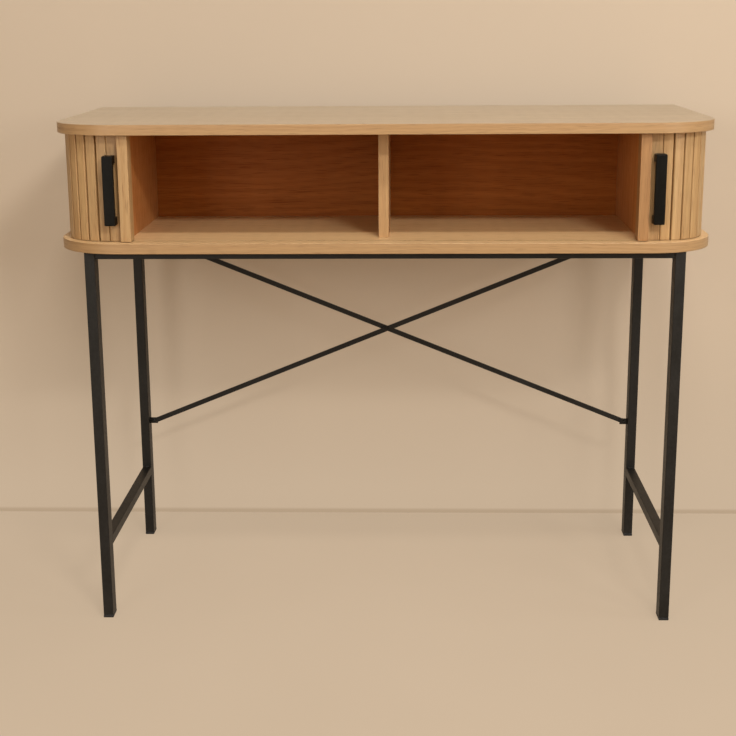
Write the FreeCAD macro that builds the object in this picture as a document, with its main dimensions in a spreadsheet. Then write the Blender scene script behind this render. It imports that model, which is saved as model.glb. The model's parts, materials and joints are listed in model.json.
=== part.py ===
# Tambour desk: an oak carcass with two slatted sliding doors on a black steel frame.
# Millimetres. The origin is on the floor under the middle of the desk; +X right, +Y back, +Z up.
# The doors are modelled fully open, with their slats round the front corners and along the sides.
import FreeCAD
import Part
import Sketcher
import os

SIZES = {
    # Boards and carcass
    "desk_width": 954,
    "desk_depth": 400,
    "board_thickness": 15,
    "board_corner_radius": 95,
    "clear_height": 153,
    "partition_thickness": 15,
    "stile_overlap": 7.5,
    "partition_front_setback": 40,
    "partition_rear_setback": 15,
    "divider_thickness": 15,
    "divider_front_setback": 56,
    "compartment_depth": 285,
    "panel_thickness": 12,
    "panel_groove_depth": 5,
    "panel_clearance": 0.1,
    "post_thickness": 15,
    "post_width": 38,
    "post_rear_setback": 5,
    # Tambour doors
    "slat_pitch": 14.4,
    "handle_slat_pitch": 17.6,
    "slat_joint_gap": 0.4,
    "slat_thickness": 8,
    "slat_chamfer": 1,
    "slat_end_gap": 1,
    "corner_pitches": 6,
    "front_recess": 22,
    "side_recess": 12.7,
    "tongue_thickness": 4,
    "track_width": 6,
    "track_depth": 7,
    "track_seat_gap": 0.3,
    "track_end_gap": 4,
    "stile_width": 15,
    "stile_depth": 25,
    "stile_recess": 11,
    "canvas_thickness": 0.6,
    "canvas_tuck": 6,
    "canvas_slot_gap": 0.2,
    # Handles
    "handle_width": 15.6,
    "handle_height": 99,
    "handle_from_stile": 13,
    "handle_drop": 2,
    "handle_bar_thickness": 8,
    "handle_finger_gap": 12,
    "handle_post_height": 12,
    "handle_screw_radius": 2,
    "handle_screw_head_radius": 3.5,
    "handle_screw_head_height": 2,
    "handle_screw_grip": 8,
    # Steel frame
    "frame_height": 567,
    "leg_width": 15,
    "leg_depth": 25,
    "leg_side_inset": 45,
    "leg_front_inset": 15,
    "leg_rear_inset": 0,
    "tube_wall": 1.5,
    "tube_corner": 1.2,
    "rail_height": 10,
    "rail_depth": 20,
    "stretcher_size": 15,
    "stretcher_height": 111,
    "foot_height": 5,
    "foot_plug_height": 12,
    "foot_plug_gap": 0.1,
    # Cross brace
    "brace_width": 8,
    "brace_thickness": 3,
    "brace_low_height": 208,
    "brace_top_drop": 28,
    "brace_bolt_inset": 8,
    "lug_margin": 5,
    "brace_bolt_radius": 2,
    "brace_bolt_head_radius": 3.5,
    "brace_bolt_head_height": 2.4,
    "nut_circumradius": 4,
    "nut_height": 3.2,
    # Hidden fixings
    "dowel_radius": 4,
    "dowel_in_board": 9,
    "dowel_in_upright": 18,
    "dowel_inset": 25,
    "fixing_inset": 80,
    "fixing_gap": 0.2,
    "carcass_screw_radius": 2.5,
    "carcass_screw_reach": 35,
    "carcass_screw_head_radius": 5,
    "carcass_screw_head_height": 3,
    "cam_radius": 7.5,
    "cam_depth": 12,
    "cam_drop": 24,
    "cam_bolt_radius": 3,
    "cam_bolt_in_board": 9,
    "frame_screw_radius": 2,
    "frame_screw_head_radius": 4,
    "frame_screw_head_height": 2.5,
    "frame_screw_grip": 9,
    "side_screw_inset": 70,
    "rear_screw_inset": 210,
}

doc = FreeCAD.newDocument("tambour_desk")
sheet = doc.addObject("Spreadsheet::Sheet", "Sizes")
for row, (size_name, value) in enumerate(SIZES.items(), start=1):
    sheet.set(f"A{row}", size_name)
    sheet.set(f"B{row}", str(value))
    sheet.setAlias(f"B{row}", size_name)
doc.recompute()

# Places worked out from the sizes, written as expressions of the sheet's cells.
HALF_WIDTH = "(Sizes.desk_width / 2)"
FRONT = "(-Sizes.desk_depth / 2)"
REAR = "(Sizes.desk_depth / 2)"
FRAME_TOP = "Sizes.frame_height"
DECK = "(Sizes.frame_height + Sizes.board_thickness)"
CEILING = f"({DECK} + Sizes.clear_height)"
TABLE_TOP = f"({CEILING} + Sizes.board_thickness)"

# The canvas line is where the slats' inner faces and their canvas backing meet.
CANVAS_RADIUS = "(Sizes.corner_pitches * Sizes.slat_pitch * 2 / pi)"
CANVAS_FRONT = f"({FRONT} + Sizes.front_recess + Sizes.slat_thickness)"
CANVAS_SIDE = f"({HALF_WIDTH} - Sizes.side_recess - Sizes.slat_thickness)"
CORNER_X = f"({CANVAS_SIDE} - {CANVAS_RADIUS})"
CORNER_Y = f"({CANVAS_FRONT} + {CANVAS_RADIUS})"
STILE_OUTER = f"({CORNER_X} - Sizes.slat_pitch / 2 - Sizes.handle_slat_pitch)"
OPENING_HALF = f"({STILE_OUTER} - Sizes.stile_width)"
SLAT_LOW = f"({DECK} + Sizes.slat_end_gap)"
SLAT_HIGH = f"({CEILING} - Sizes.slat_end_gap)"
TONGUE_LOW = f"({DECK} - Sizes.track_depth + Sizes.track_seat_gap)"
TONGUE_HIGH = f"({CEILING} + Sizes.track_depth - Sizes.track_seat_gap)"

PARTITION_INNER = f"({OPENING_HALF} + Sizes.stile_overlap)"
PARTITION_OUTER = f"({PARTITION_INNER} + Sizes.partition_thickness)"
PARTITION_MIDDLE = f"({PARTITION_INNER} + Sizes.partition_thickness / 2)"
PARTITION_FRONT = f"({FRONT} + Sizes.partition_front_setback)"
PARTITION_REAR = f"({REAR} - Sizes.partition_rear_setback)"
DIVIDER_FRONT = f"({FRONT} + Sizes.divider_front_setback)"
PANEL_FRONT = f"({FRONT} + Sizes.compartment_depth)"
PANEL_REAR = f"({PANEL_FRONT} + Sizes.panel_thickness)"
POST_OUTER = f"({HALF_WIDTH} - Sizes.side_recess)"
POST_INNER = f"({POST_OUTER} - Sizes.post_thickness)"
POST_REAR = f"({REAR} - Sizes.post_rear_setback)"
POST_FRONT = f"({POST_REAR} - Sizes.post_width)"

LEG_OUTER = f"({HALF_WIDTH} - Sizes.leg_side_inset)"
LEG_INNER = f"({LEG_OUTER} - Sizes.leg_width)"
LEG_MIDDLE = f"({LEG_OUTER} - Sizes.leg_width / 2)"
FRONT_LEG_Y = f"({FRONT} + Sizes.leg_front_inset + Sizes.leg_depth / 2)"
REAR_LEG_Y = f"({REAR} - Sizes.leg_rear_inset - Sizes.leg_depth / 2)"
SIDE_RAIL_FRONT = f"({FRONT_LEG_Y} + Sizes.leg_depth / 2)"
SIDE_RAIL_LENGTH = f"({REAR_LEG_Y} - {FRONT_LEG_Y} - Sizes.leg_depth)"
RAIL_LOW = f"({FRAME_TOP} - Sizes.rail_height)"
RAIL_MIDDLE = f"({FRAME_TOP} - Sizes.rail_height / 2)"

SIDES = {"left": -1, "right": 1}
X_AXIS = FreeCAD.Vector(1, 0, 0)
Y_AXIS = FreeCAD.Vector(0, 1, 0)
Z_AXIS = FreeCAD.Vector(0, 0, 1)
# Turns that point a piece's own Z axis along an axis of the desk.
ALONG = {
    "x": FreeCAD.Rotation(Y_AXIS, 90),
    "y": FreeCAD.Rotation(X_AXIS, -90),
    "-y": FreeCAD.Rotation(X_AXIS, 90),
    "z": FreeCAD.Rotation(),
}
nodes = []


def keep(item, label):
    """Name a finished sub-part and put it on the list that is written out."""
    item.Label = label
    nodes.append(item)
    return item


def bind(item, expressions):
    for name, expression in expressions.items():
        item.setExpression(name, expression)
    return item


def move(item, x, y, z):
    """Tie an object's place to the sheet."""
    places = {"Placement.Base.x": x, "Placement.Base.y": y, "Placement.Base.z": z}
    return bind(item, places)


def turn(item, axis, angle):
    """Tie an object's turn about one axis to the sheet."""
    item.Placement = FreeCAD.Placement(FreeCAD.Vector(), FreeCAD.Rotation(axis, 1))
    return bind(item, {"Placement.Rotation.Angle": angle})


def block(x, y, z):
    """A box between two planes on each axis, each plane given as an expression."""
    item = doc.addObject("Part::Box", "block")
    spans = {"Length": x, "Width": y, "Height": z}
    bind(item, {name: f"{high} - ({low})" for name, (low, high) in spans.items()})
    return move(item, x[0], y[0], z[0])


def rod(radius, length, x, y, z, along="z"):
    """A cylinder from one point along an axis."""
    item = doc.addObject("Part::Cylinder", "rod")
    item.Placement = FreeCAD.Placement(FreeCAD.Vector(), ALONG[along])
    bind(item, {"Radius": radius, "Height": length})
    return move(item, x, y, z)


def fuse(items):
    item = doc.addObject("Part::MultiFuse", "fuse")
    item.Shapes = items
    item.Refine = True
    return item


def group(items):
    """Several separate solids that share one node."""
    item = doc.addObject("Part::Compound", "group")
    item.Links = items
    return item


def cut(base, tools):
    item = doc.addObject("Part::Cut", "cut")
    item.Base = base
    item.Tool = tools[0] if len(tools) == 1 else group(tools)
    return item


def on_side(side, inner, outer):
    """The X span between two distances from the middle, on one side of the desk."""
    if SIDES[side] > 0:
        return (inner, outer)
    return (f"-{outer}", f"-{inner}")


def at_side(side, distance):
    return distance if SIDES[side] > 0 else f"-{distance}"


def rounded_slab(half_width, front, rear, radius, z):
    """A slab whose two front corners are round in plan."""
    wide = block((f"-{half_width}", half_width), (f"{front} + {radius}", rear), z)
    edge = f"({half_width} - {radius})"
    deep = block((f"-{edge}", edge), (front, rear), z)
    thickness = f"{z[1]} - ({z[0]})"
    corners = [rod(radius, thickness, x, f"{front} + {radius}", z[0]) for x in (f"-{edge}", edge)]
    return fuse([wide, deep] + corners)


def rectangle(sketch, width, depth):
    """A rectangle centred on the sketch's origin, with both sizes tied to the sheet."""
    half_w = sheet.evalExpression(width) / 2
    half_d = sheet.evalExpression(depth) / 2
    corners = [(-half_w, -half_d), (half_w, -half_d), (half_w, half_d), (-half_w, half_d)]
    points = [FreeCAD.Vector(x, y, 0) for x, y in corners]
    lines = []
    for index, point in enumerate(points):
        segment = Part.LineSegment(point, points[(index + 1) % 4])
        lines.append(sketch.addGeometry(segment, False))
    for index, line in enumerate(lines):
        following = lines[(index + 1) % 4]
        sketch.addConstraint(Sketcher.Constraint("Coincident", line, 2, following, 1))
        direction = "Horizontal" if index % 2 == 0 else "Vertical"
        sketch.addConstraint(Sketcher.Constraint(direction, line))
    sketch.addConstraint(Sketcher.Constraint("Symmetric", lines[0], 1, lines[2], 1, -1, 1))
    for line, kind, size in ((lines[0], "DistanceX", width), (lines[1], "DistanceY", depth)):
        value_now = sheet.evalExpression(size)
        index = sketch.addConstraint(Sketcher.Constraint(kind, line, 1, line, 2, value_now))
        sketch.setExpression(f"Constraints[{index}]", size)


def tube(width, depth, length, x, y, z, along="z"):
    """A rectangular steel tube with rounded outer corners, from one end along an axis."""
    body = doc.addObject("PartDesign::Body", "tube")
    plane = next(item for item in body.Origin.OriginFeatures if item.Role == "XY_Plane")
    section = body.newObject("Sketcher::SketchObject", "section")
    section.AttachmentSupport = (plane, [""])
    section.MapMode = "FlatFace"
    rectangle(section, width, depth)
    rectangle(section, f"({width} - 2 * Sizes.tube_wall)", f"({depth} - 2 * Sizes.tube_wall)")
    pad = body.newObject("PartDesign::Pad", "pad")
    pad.Profile = section
    pad.setExpression("Length", length)
    doc.recompute()
    half_w = sheet.evalExpression(width) / 2
    half_d = sheet.evalExpression(depth) / 2
    outer_edges = []
    for number, edge in enumerate(pad.Shape.Edges, start=1):
        middle = edge.BoundBox.Center
        if abs(abs(middle.x) - half_w) < 0.01 and abs(abs(middle.y) - half_d) < 0.01:
            outer_edges.append(f"Edge{number}")
    fillet = body.newObject("PartDesign::Fillet", "fillet")
    fillet.Base = (pad, outer_edges)
    fillet.setExpression("Radius", "Sizes.tube_corner")
    body.Tip = fillet
    body.Placement = FreeCAD.Placement(FreeCAD.Vector(), ALONG[along])
    return move(body, x, y, z)


def screw(radius, length, head_radius, head_height, x, y, z, along="z"):
    """A plain screw whose head's underside is at the given point; the shank runs along the axis."""
    shank = rod(radius, length, "0", "0", "0")
    head = rod(head_radius, head_height, "0", "0", f"-{head_height}")
    item = fuse([shank, head])
    item.Placement = FreeCAD.Placement(FreeCAD.Vector(), ALONG[along])
    return move(item, x, y, z)


def ends(front, rear, inset):
    """Two places along an upright, the same distance in from each of its ends."""
    return [f"({front} + {inset})", f"({rear} - {inset})"]


# Steel frame: four legs, a ring of top rails, side stretchers and feet.
SIDE_Y = {"front": FRONT_LEG_Y, "rear": REAR_LEG_Y}
feet = []
for side in SIDES:
    leg_x = at_side(side, LEG_MIDDLE)
    for end, leg_y in SIDE_Y.items():
        leg_length = f"({FRAME_TOP} - Sizes.foot_height)"
        leg = tube("Sizes.leg_width", "Sizes.leg_depth", leg_length, leg_x, leg_y, "Sizes.foot_height")
        keep(leg, f"{end}_{side}_leg")
        bore_gap = "(Sizes.tube_wall + Sizes.foot_plug_gap)"
        half_w = "(Sizes.leg_width / 2)"
        half_d = "(Sizes.leg_depth / 2)"
        plug_w = f"({half_w} - {bore_gap})"
        plug_d = f"({half_d} - {bore_gap})"
        pad_block = block((f"-{half_w}", half_w), (f"-{half_d}", half_d), ("0", "Sizes.foot_height"))
        plug_top = "Sizes.foot_height + Sizes.foot_plug_height"
        plug = block((f"-{plug_w}", plug_w), (f"-{plug_d}", plug_d), ("0", plug_top))
        feet.append(move(fuse([pad_block, plug]), leg_x, leg_y, "0"))
keep(group(feet), "foot_caps")

rail_length = f"(2 * {LEG_INNER})"
screw_hole = "(Sizes.frame_screw_radius + Sizes.fixing_gap)"
frame_screw_length = "(Sizes.rail_height + Sizes.frame_screw_grip)"
frame_screw_places = []


def hung_rail(rail, label, places):
    """Drill a top rail for the screws that hold the carcass down."""
    holes = [rod(screw_hole, "Sizes.rail_height", x, y, RAIL_LOW) for x, y in places]
    frame_screw_places.extend(places)
    return keep(cut(rail, holes), label)


front_rail = tube(
    "Sizes.rail_height", "Sizes.rail_depth", rail_length, f"-{LEG_INNER}", FRONT_LEG_Y, RAIL_MIDDLE, "x"
)
keep(front_rail, "front_rail")
rear_rail = tube(
    "Sizes.rail_height", "Sizes.rail_depth", rail_length, f"-{LEG_INNER}", REAR_LEG_Y, RAIL_MIDDLE, "x"
)
rear_rail_x = ends(f"-{LEG_INNER}", LEG_INNER, "Sizes.rear_screw_inset")
hung_rail(rear_rail, "rear_rail", [(x, REAR_LEG_Y) for x in rear_rail_x])
for side in SIDES:
    rail_x = at_side(side, LEG_MIDDLE)
    rail = tube(
        "Sizes.leg_width", "Sizes.rail_height", SIDE_RAIL_LENGTH, rail_x, SIDE_RAIL_FRONT, RAIL_MIDDLE, "y"
    )
    rail_rear = f"({SIDE_RAIL_FRONT} + {SIDE_RAIL_LENGTH})"
    places = [(rail_x, y) for y in ends(SIDE_RAIL_FRONT, rail_rear, "Sizes.side_screw_inset")]
    hung_rail(rail, f"{side}_top_rail", places)
    stretcher_z = "(Sizes.stretcher_height + Sizes.stretcher_size / 2)"
    stretcher = tube(
        "Sizes.stretcher_size", "Sizes.stretcher_size", SIDE_RAIL_LENGTH, rail_x, SIDE_RAIL_FRONT,
        stretcher_z, "y"
    )
    keep(stretcher, f"{side}_stretcher")
frame_screws = [
    screw(
        "Sizes.frame_screw_radius", frame_screw_length, "Sizes.frame_screw_head_radius",
        "Sizes.frame_screw_head_height", x, y, RAIL_LOW
    )
    for x, y in frame_screw_places
]
keep(group(frame_screws), "frame_screws")

# Cross brace: two flat bars that cross between the rear legs, bolted to lugs on the legs.
BRACE_REACH = f"({LEG_INNER} - Sizes.brace_bolt_inset)"
BRACE_LOW = "Sizes.brace_low_height"
BRACE_HIGH = f"({FRAME_TOP} - Sizes.brace_top_drop)"
BRACE_RISE = f"({BRACE_HIGH} - {BRACE_LOW})"
BRACE_MIDDLE = f"(({BRACE_HIGH} + {BRACE_LOW}) / 2)"
BRACE_HALF = f"(hypot(2 * {BRACE_REACH}; {BRACE_RISE}) / 2)"
BRACE_ANGLE = f"atan({BRACE_RISE} / (2 * {BRACE_REACH}))"
bolt_hole = "(Sizes.brace_bolt_radius + Sizes.fixing_gap)"
front_leaf = (f"({REAR_LEG_Y} - Sizes.brace_thickness)", REAR_LEG_Y)
rear_leaf = (REAR_LEG_Y, f"({REAR_LEG_Y} + Sizes.brace_thickness)")
lugs = []
brace_bolts = []
brace_nuts = []


def brace_bolt(x, z):
    """A bolt through two leaves, with its nut behind them."""
    stack = "(2 * Sizes.brace_thickness)"
    length = f"({stack} + Sizes.nut_height)"
    bolt = screw(
        "Sizes.brace_bolt_radius", length, "Sizes.brace_bolt_head_radius",
        "Sizes.brace_bolt_head_height", x, front_leaf[0], z, "y"
    )
    brace_bolts.append(bolt)
    hexagon = doc.addObject("Part::Prism", "nut")
    hexagon.Polygon = 6
    bind(hexagon, {"Circumradius": "Sizes.nut_circumradius", "Height": "Sizes.nut_height"})
    nut_bore = rod("Sizes.brace_bolt_radius + Sizes.fixing_gap / 4", "Sizes.nut_height", "0", "0", "0")
    nut = cut(hexagon, [nut_bore])
    nut.Placement = FreeCAD.Placement(FreeCAD.Vector(), ALONG["y"])
    brace_nuts.append(move(nut, x, rear_leaf[1], z))


def brace_bar(label, leaf, angle):
    """A round-ended flat bar with a hole at each end and one where the bars cross."""
    half_width = "(Sizes.brace_width / 2)"
    depth = ("0", "Sizes.brace_thickness")
    bar = block((f"-{BRACE_HALF}", BRACE_HALF), depth, (f"-{half_width}", half_width))
    places = [f"-{BRACE_HALF}", "0", BRACE_HALF]
    rounds = [rod(half_width, depth[1], x, "0", "0", "y") for x in (places[0], places[2])]
    holes = [rod(bolt_hole, depth[1], x, "0", "0", "y") for x in places]
    item = cut(fuse([bar] + rounds), holes)
    turn(item, Y_AXIS, angle)
    return keep(move(item, "0", leaf[0], BRACE_MIDDLE), label)


brace_bar("rising_brace_bar", front_leaf, f"-{BRACE_ANGLE}")
brace_bar("falling_brace_bar", rear_leaf, BRACE_ANGLE)
brace_bolt("0", BRACE_MIDDLE)
for side in SIDES:
    for height in (BRACE_LOW, BRACE_HIGH):
        rising = (side == "left") == (height == BRACE_LOW)
        lug_y = rear_leaf if rising else front_leaf
        lug_x = on_side(side, f"({BRACE_REACH} - Sizes.lug_margin)", LEG_INNER)
        lug_z = (f"({height} - Sizes.lug_margin)", f"({height} + Sizes.lug_margin)")
        bolt_x = at_side(side, BRACE_REACH)
        hole = rod(bolt_hole, "Sizes.brace_thickness", bolt_x, lug_y[0], height, "y")
        lugs.append(cut(block(lug_x, lug_y, lug_z), [hole]))
        brace_bolt(bolt_x, height)
keep(group(lugs), "brace_lugs")
keep(group(brace_bolts), "brace_bolts")
keep(group(brace_nuts), "brace_nuts")

# Carcass: two boards, two partitions, a divider, the inner back and two rear posts.
uprights = {
    "left_partition": (f"-{PARTITION_MIDDLE}", PARTITION_FRONT, PARTITION_REAR),
    "right_partition": (PARTITION_MIDDLE, PARTITION_FRONT, PARTITION_REAR),
    "centre_divider": ("0", DIVIDER_FRONT, PANEL_FRONT),
}
dowel_hole = "(Sizes.dowel_radius + Sizes.fixing_gap / 2)"
dowel_board_hole = "(Sizes.dowel_in_board + Sizes.fixing_gap)"
dowel_upright_hole = "(Sizes.dowel_in_upright + Sizes.fixing_gap)"
carcass_screw_hole = "(Sizes.carcass_screw_radius + Sizes.fixing_gap / 2)"
carcass_head_hole = "(Sizes.carcass_screw_head_radius + Sizes.fixing_gap)"
HEAD_SEAT = f"({FRAME_TOP} + Sizes.carcass_screw_head_height)"
CAM_HEIGHT = f"({CEILING} - Sizes.cam_drop)"
cam_bolt_hole = "(Sizes.cam_bolt_radius + Sizes.fixing_gap)"
cam_bolt_length = "(Sizes.cam_drop + Sizes.cam_bolt_in_board)"

track_gap = "(Sizes.track_width / 2)"
TRACK_SIDE = f"({CANVAS_SIDE} + Sizes.slat_thickness / 2)"
TRACK_FRONT = f"({CANVAS_FRONT} - Sizes.slat_thickness / 2)"
TRACK_RADIUS = f"({CANVAS_RADIUS} + Sizes.slat_thickness / 2)"
side_run = sheet.evalExpression(f"{POST_FRONT} - Sizes.track_end_gap - {CORNER_Y}")
side_slat_count = int(side_run / SIZES["slat_pitch"] + 0.5)
TRACK_REAR = f"({CORNER_Y} + ({side_slat_count} - 0.5) * Sizes.slat_pitch + Sizes.track_end_gap / 2)"


def track(z):
    """The groove that the door's tongues run in: along the front, round both corners and back."""
    outer = rounded_slab(
        f"({TRACK_SIDE} + {track_gap})", f"({TRACK_FRONT} - {track_gap})", TRACK_REAR,
        f"({TRACK_RADIUS} + {track_gap})", z
    )
    inner = rounded_slab(
        f"({TRACK_SIDE} - {track_gap})", f"({TRACK_FRONT} + {track_gap})",
        f"({TRACK_REAR} + Sizes.track_width)", f"({TRACK_RADIUS} - {track_gap})", z
    )
    return cut(outer, [inner])


def panel_groove(z):
    reach = f"({PARTITION_INNER} + Sizes.panel_groove_depth)"
    panel_y = (f"({PANEL_FRONT} - Sizes.panel_clearance)", f"({PANEL_REAR} + Sizes.panel_clearance)")
    return block((f"-{reach}", reach), panel_y, z)


dowel_places = []
for x, front, rear in uprights.values():
    dowel_places.extend((x, y) for y in ends(front, rear, "Sizes.dowel_inset"))
post_middle_y = f"(({POST_FRONT} + {POST_REAR}) / 2)"
post_middle_x = f"(({POST_INNER} + {POST_OUTER}) / 2)"
for side in SIDES:
    dowel_places.append((at_side(side, post_middle_x), post_middle_y))
screw_places = []
cam_places = []
for name, (x, front, rear) in uprights.items():
    places = [(x, y) for y in ends(front, rear, "Sizes.fixing_inset")]
    screw_places.extend(places)
    if name != "centre_divider":
        cam_places.extend(places)


def board(low, high):
    """One of the two boards, before it is grooved and drilled."""
    return rounded_slab(HALF_WIDTH, FRONT, REAR, "Sizes.board_corner_radius", (low, high))


bottom_tools = [
    track((f"({DECK} - Sizes.track_depth)", DECK)),
    panel_groove((f"({DECK} - Sizes.panel_groove_depth)", DECK)),
]
for x, y in dowel_places:
    bottom_tools.append(rod(dowel_hole, dowel_board_hole, x, y, f"({DECK} - {dowel_board_hole})"))
for x, y in screw_places:
    bottom_tools.append(rod(carcass_screw_hole, "Sizes.board_thickness", x, y, FRAME_TOP))
    bottom_tools.append(rod(carcass_head_hole, "Sizes.carcass_screw_head_height", x, y, FRAME_TOP))
for x, y in frame_screw_places:
    pilot_radius = "(Sizes.frame_screw_radius + Sizes.fixing_gap / 2)"
    pilot_depth = "(Sizes.frame_screw_grip + Sizes.fixing_gap)"
    bottom_tools.append(rod(pilot_radius, pilot_depth, x, y, FRAME_TOP))
keep(cut(board(FRAME_TOP, DECK), bottom_tools), "bottom_board")

top_tools = [
    track((CEILING, f"({CEILING} + Sizes.track_depth)")),
    panel_groove((CEILING, f"({CEILING} + Sizes.panel_groove_depth)")),
]
for x, y in dowel_places:
    top_tools.append(rod(dowel_hole, dowel_board_hole, x, y, CEILING))
for x, y in cam_places:
    cam_pilot_depth = "(Sizes.cam_bolt_in_board + Sizes.fixing_gap)"
    top_tools.append(rod("Sizes.cam_bolt_radius + Sizes.fixing_gap / 2", cam_pilot_depth, x, y, CEILING))
keep(cut(board(CEILING, TABLE_TOP), top_tools), "top_board")


def dowel_sockets(places):
    """Dowel holes in the lower and upper ends of an upright."""
    sockets = []
    for x, y in places:
        sockets.append(rod(dowel_hole, dowel_upright_hole, x, y, DECK))
        sockets.append(rod(dowel_hole, dowel_upright_hole, x, y, f"({CEILING} - {dowel_upright_hole})"))
    return sockets


def screw_sockets(places):
    depth = "(Sizes.carcass_screw_reach + Sizes.fixing_gap)"
    return [rod(carcass_screw_hole, depth, x, y, DECK) for x, y in places]


cam_locks = []
for side in SIDES:
    name = f"{side}_partition"
    x, front, rear = uprights[name]
    fixing_places = [(x, y) for y in ends(front, rear, "Sizes.fixing_inset")]
    tools = dowel_sockets([(x, y) for y in ends(front, rear, "Sizes.dowel_inset")])
    tools += screw_sockets(fixing_places)
    tools.append(panel_groove((DECK, CEILING)))
    face = at_side(side, PARTITION_OUTER)
    cam_start = face if SIDES[side] < 0 else f"({PARTITION_OUTER} - Sizes.cam_depth)"
    for cam_x, cam_y in fixing_places:
        hole_radius = "(Sizes.cam_radius + Sizes.fixing_gap / 2)"
        tools.append(rod(hole_radius, "Sizes.cam_depth", cam_start, cam_y, CAM_HEIGHT, "x"))
        tools.append(rod(cam_bolt_hole, "Sizes.cam_drop", cam_x, cam_y, CAM_HEIGHT))
        cam = rod("Sizes.cam_radius", "Sizes.cam_depth", cam_start, cam_y, CAM_HEIGHT, "x")
        cam_slot = rod(cam_bolt_hole, "Sizes.cam_drop", cam_x, cam_y, CAM_HEIGHT)
        cam_locks.append(cut(cam, [cam_slot]))
    span = on_side(side, PARTITION_INNER, PARTITION_OUTER)
    keep(cut(block(span, (front, rear), (DECK, CEILING)), tools), name)
keep(group(cam_locks), "cam_locks")
cam_bolts = [rod("Sizes.cam_bolt_radius", cam_bolt_length, x, y, CAM_HEIGHT) for x, y in cam_places]
keep(group(cam_bolts), "cam_bolts")

divider_half = "(Sizes.divider_thickness / 2)"
divider_block = block((f"-{divider_half}", divider_half), (DIVIDER_FRONT, PANEL_FRONT), (DECK, CEILING))
divider_tools = dowel_sockets([("0", y) for y in ends(DIVIDER_FRONT, PANEL_FRONT, "Sizes.dowel_inset")])
divider_tools += screw_sockets([("0", y) for y in ends(DIVIDER_FRONT, PANEL_FRONT, "Sizes.fixing_inset")])
keep(cut(divider_block, divider_tools), "centre_divider")

panel_reach = f"({PARTITION_INNER} + Sizes.panel_groove_depth - Sizes.panel_clearance)"
panel_low = f"({DECK} - Sizes.panel_groove_depth)"
panel_high = f"({CEILING} + Sizes.panel_groove_depth - Sizes.panel_clearance)"
panel = block((f"-{panel_reach}", panel_reach), (PANEL_FRONT, PANEL_REAR), (panel_low, panel_high))
keep(panel, "back_panel")

for side in SIDES:
    post = block(on_side(side, POST_INNER, POST_OUTER), (POST_FRONT, POST_REAR), (DECK, CEILING))
    post_place = (at_side(side, post_middle_x), post_middle_y)
    keep(cut(post, dowel_sockets([post_place])), f"{side}_rear_post")

dowel_length = "(Sizes.dowel_in_board + Sizes.dowel_in_upright)"
dowel_starts = [f"({DECK} - Sizes.dowel_in_board)", f"({CEILING} - Sizes.dowel_in_upright)"]
dowels = [rod("Sizes.dowel_radius", dowel_length, x, y, z) for x, y in dowel_places for z in dowel_starts]
keep(group(dowels), "carcass_dowels")
screw_in_board = "(Sizes.board_thickness - Sizes.carcass_screw_head_height)"
carcass_screw_length = f"({screw_in_board} + Sizes.carcass_screw_reach)"
carcass_screws = [
    screw(
        "Sizes.carcass_screw_radius", carcass_screw_length, "Sizes.carcass_screw_head_radius",
        "Sizes.carcass_screw_head_height", x, y, HEAD_SEAT
    )
    for x, y in screw_places
]
keep(group(carcass_screws), "carcass_screws")

# Tambour doors: a lead stile, slats on a canvas backing, and a handle on the wider first slat.
half_slat = "((Sizes.slat_pitch - Sizes.slat_joint_gap) / 2)"
half_handle_slat = "((Sizes.handle_slat_pitch - Sizes.slat_joint_gap) / 2)"
tongue_near = "((Sizes.slat_thickness - Sizes.tongue_thickness) / 2)"
tongue_far = "((Sizes.slat_thickness + Sizes.tongue_thickness) / 2)"
slat_z = (SLAT_LOW, SLAT_HIGH)
tongue_z = (TONGUE_LOW, TONGUE_HIGH)


def slat(half_width=half_slat):
    """One slat about its own canvas line: chamfered outer corners, and a tongue at each end."""
    face = doc.addObject("Part::Wedge", "slat_face")
    face_half = f"({half_width} - Sizes.slat_chamfer)"
    shoulder = "(Sizes.slat_chamfer - Sizes.slat_thickness)"
    bind(face, {"Xmin": f"-{face_half}", "Xmax": face_half, "X2min": f"-{half_width}", "X2max": half_width})
    bind(face, {"Ymin": "-Sizes.slat_thickness", "Ymax": shoulder})
    bind(face, {"Zmin": SLAT_LOW, "Zmax": SLAT_HIGH, "Z2min": SLAT_LOW, "Z2max": SLAT_HIGH})
    back = block((f"-{half_width}", half_width), (shoulder, "0"), slat_z)
    tongue = block((f"-{half_width}", half_width), (f"-{tongue_far}", f"-{tongue_near}"), tongue_z)
    return fuse([face, back, tongue])


def corner_slat(side, number):
    """A slat on the corner, turned by its share of the quarter circle."""
    share = f"({number} * 90 / Sizes.corner_pitches)"
    item = turn(slat(), Z_AXIS, share if SIDES[side] > 0 else f"-{share}")
    x = at_side(side, f"({CORNER_X} + {CANVAS_RADIUS} * sin({share} * 1deg))")
    return move(item, x, f"({CORNER_Y} - {CANVAS_RADIUS} * cos({share} * 1deg))", "0")


def side_slat(side, steps):
    """A slat on the side run, counted in pitches from the corner's end."""
    item = turn(slat(), Z_AXIS, "90" if SIDES[side] > 0 else "-90")
    return move(item, at_side(side, CANVAS_SIDE), f"({CORNER_Y} + {steps} * Sizes.slat_pitch)", "0")


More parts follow.
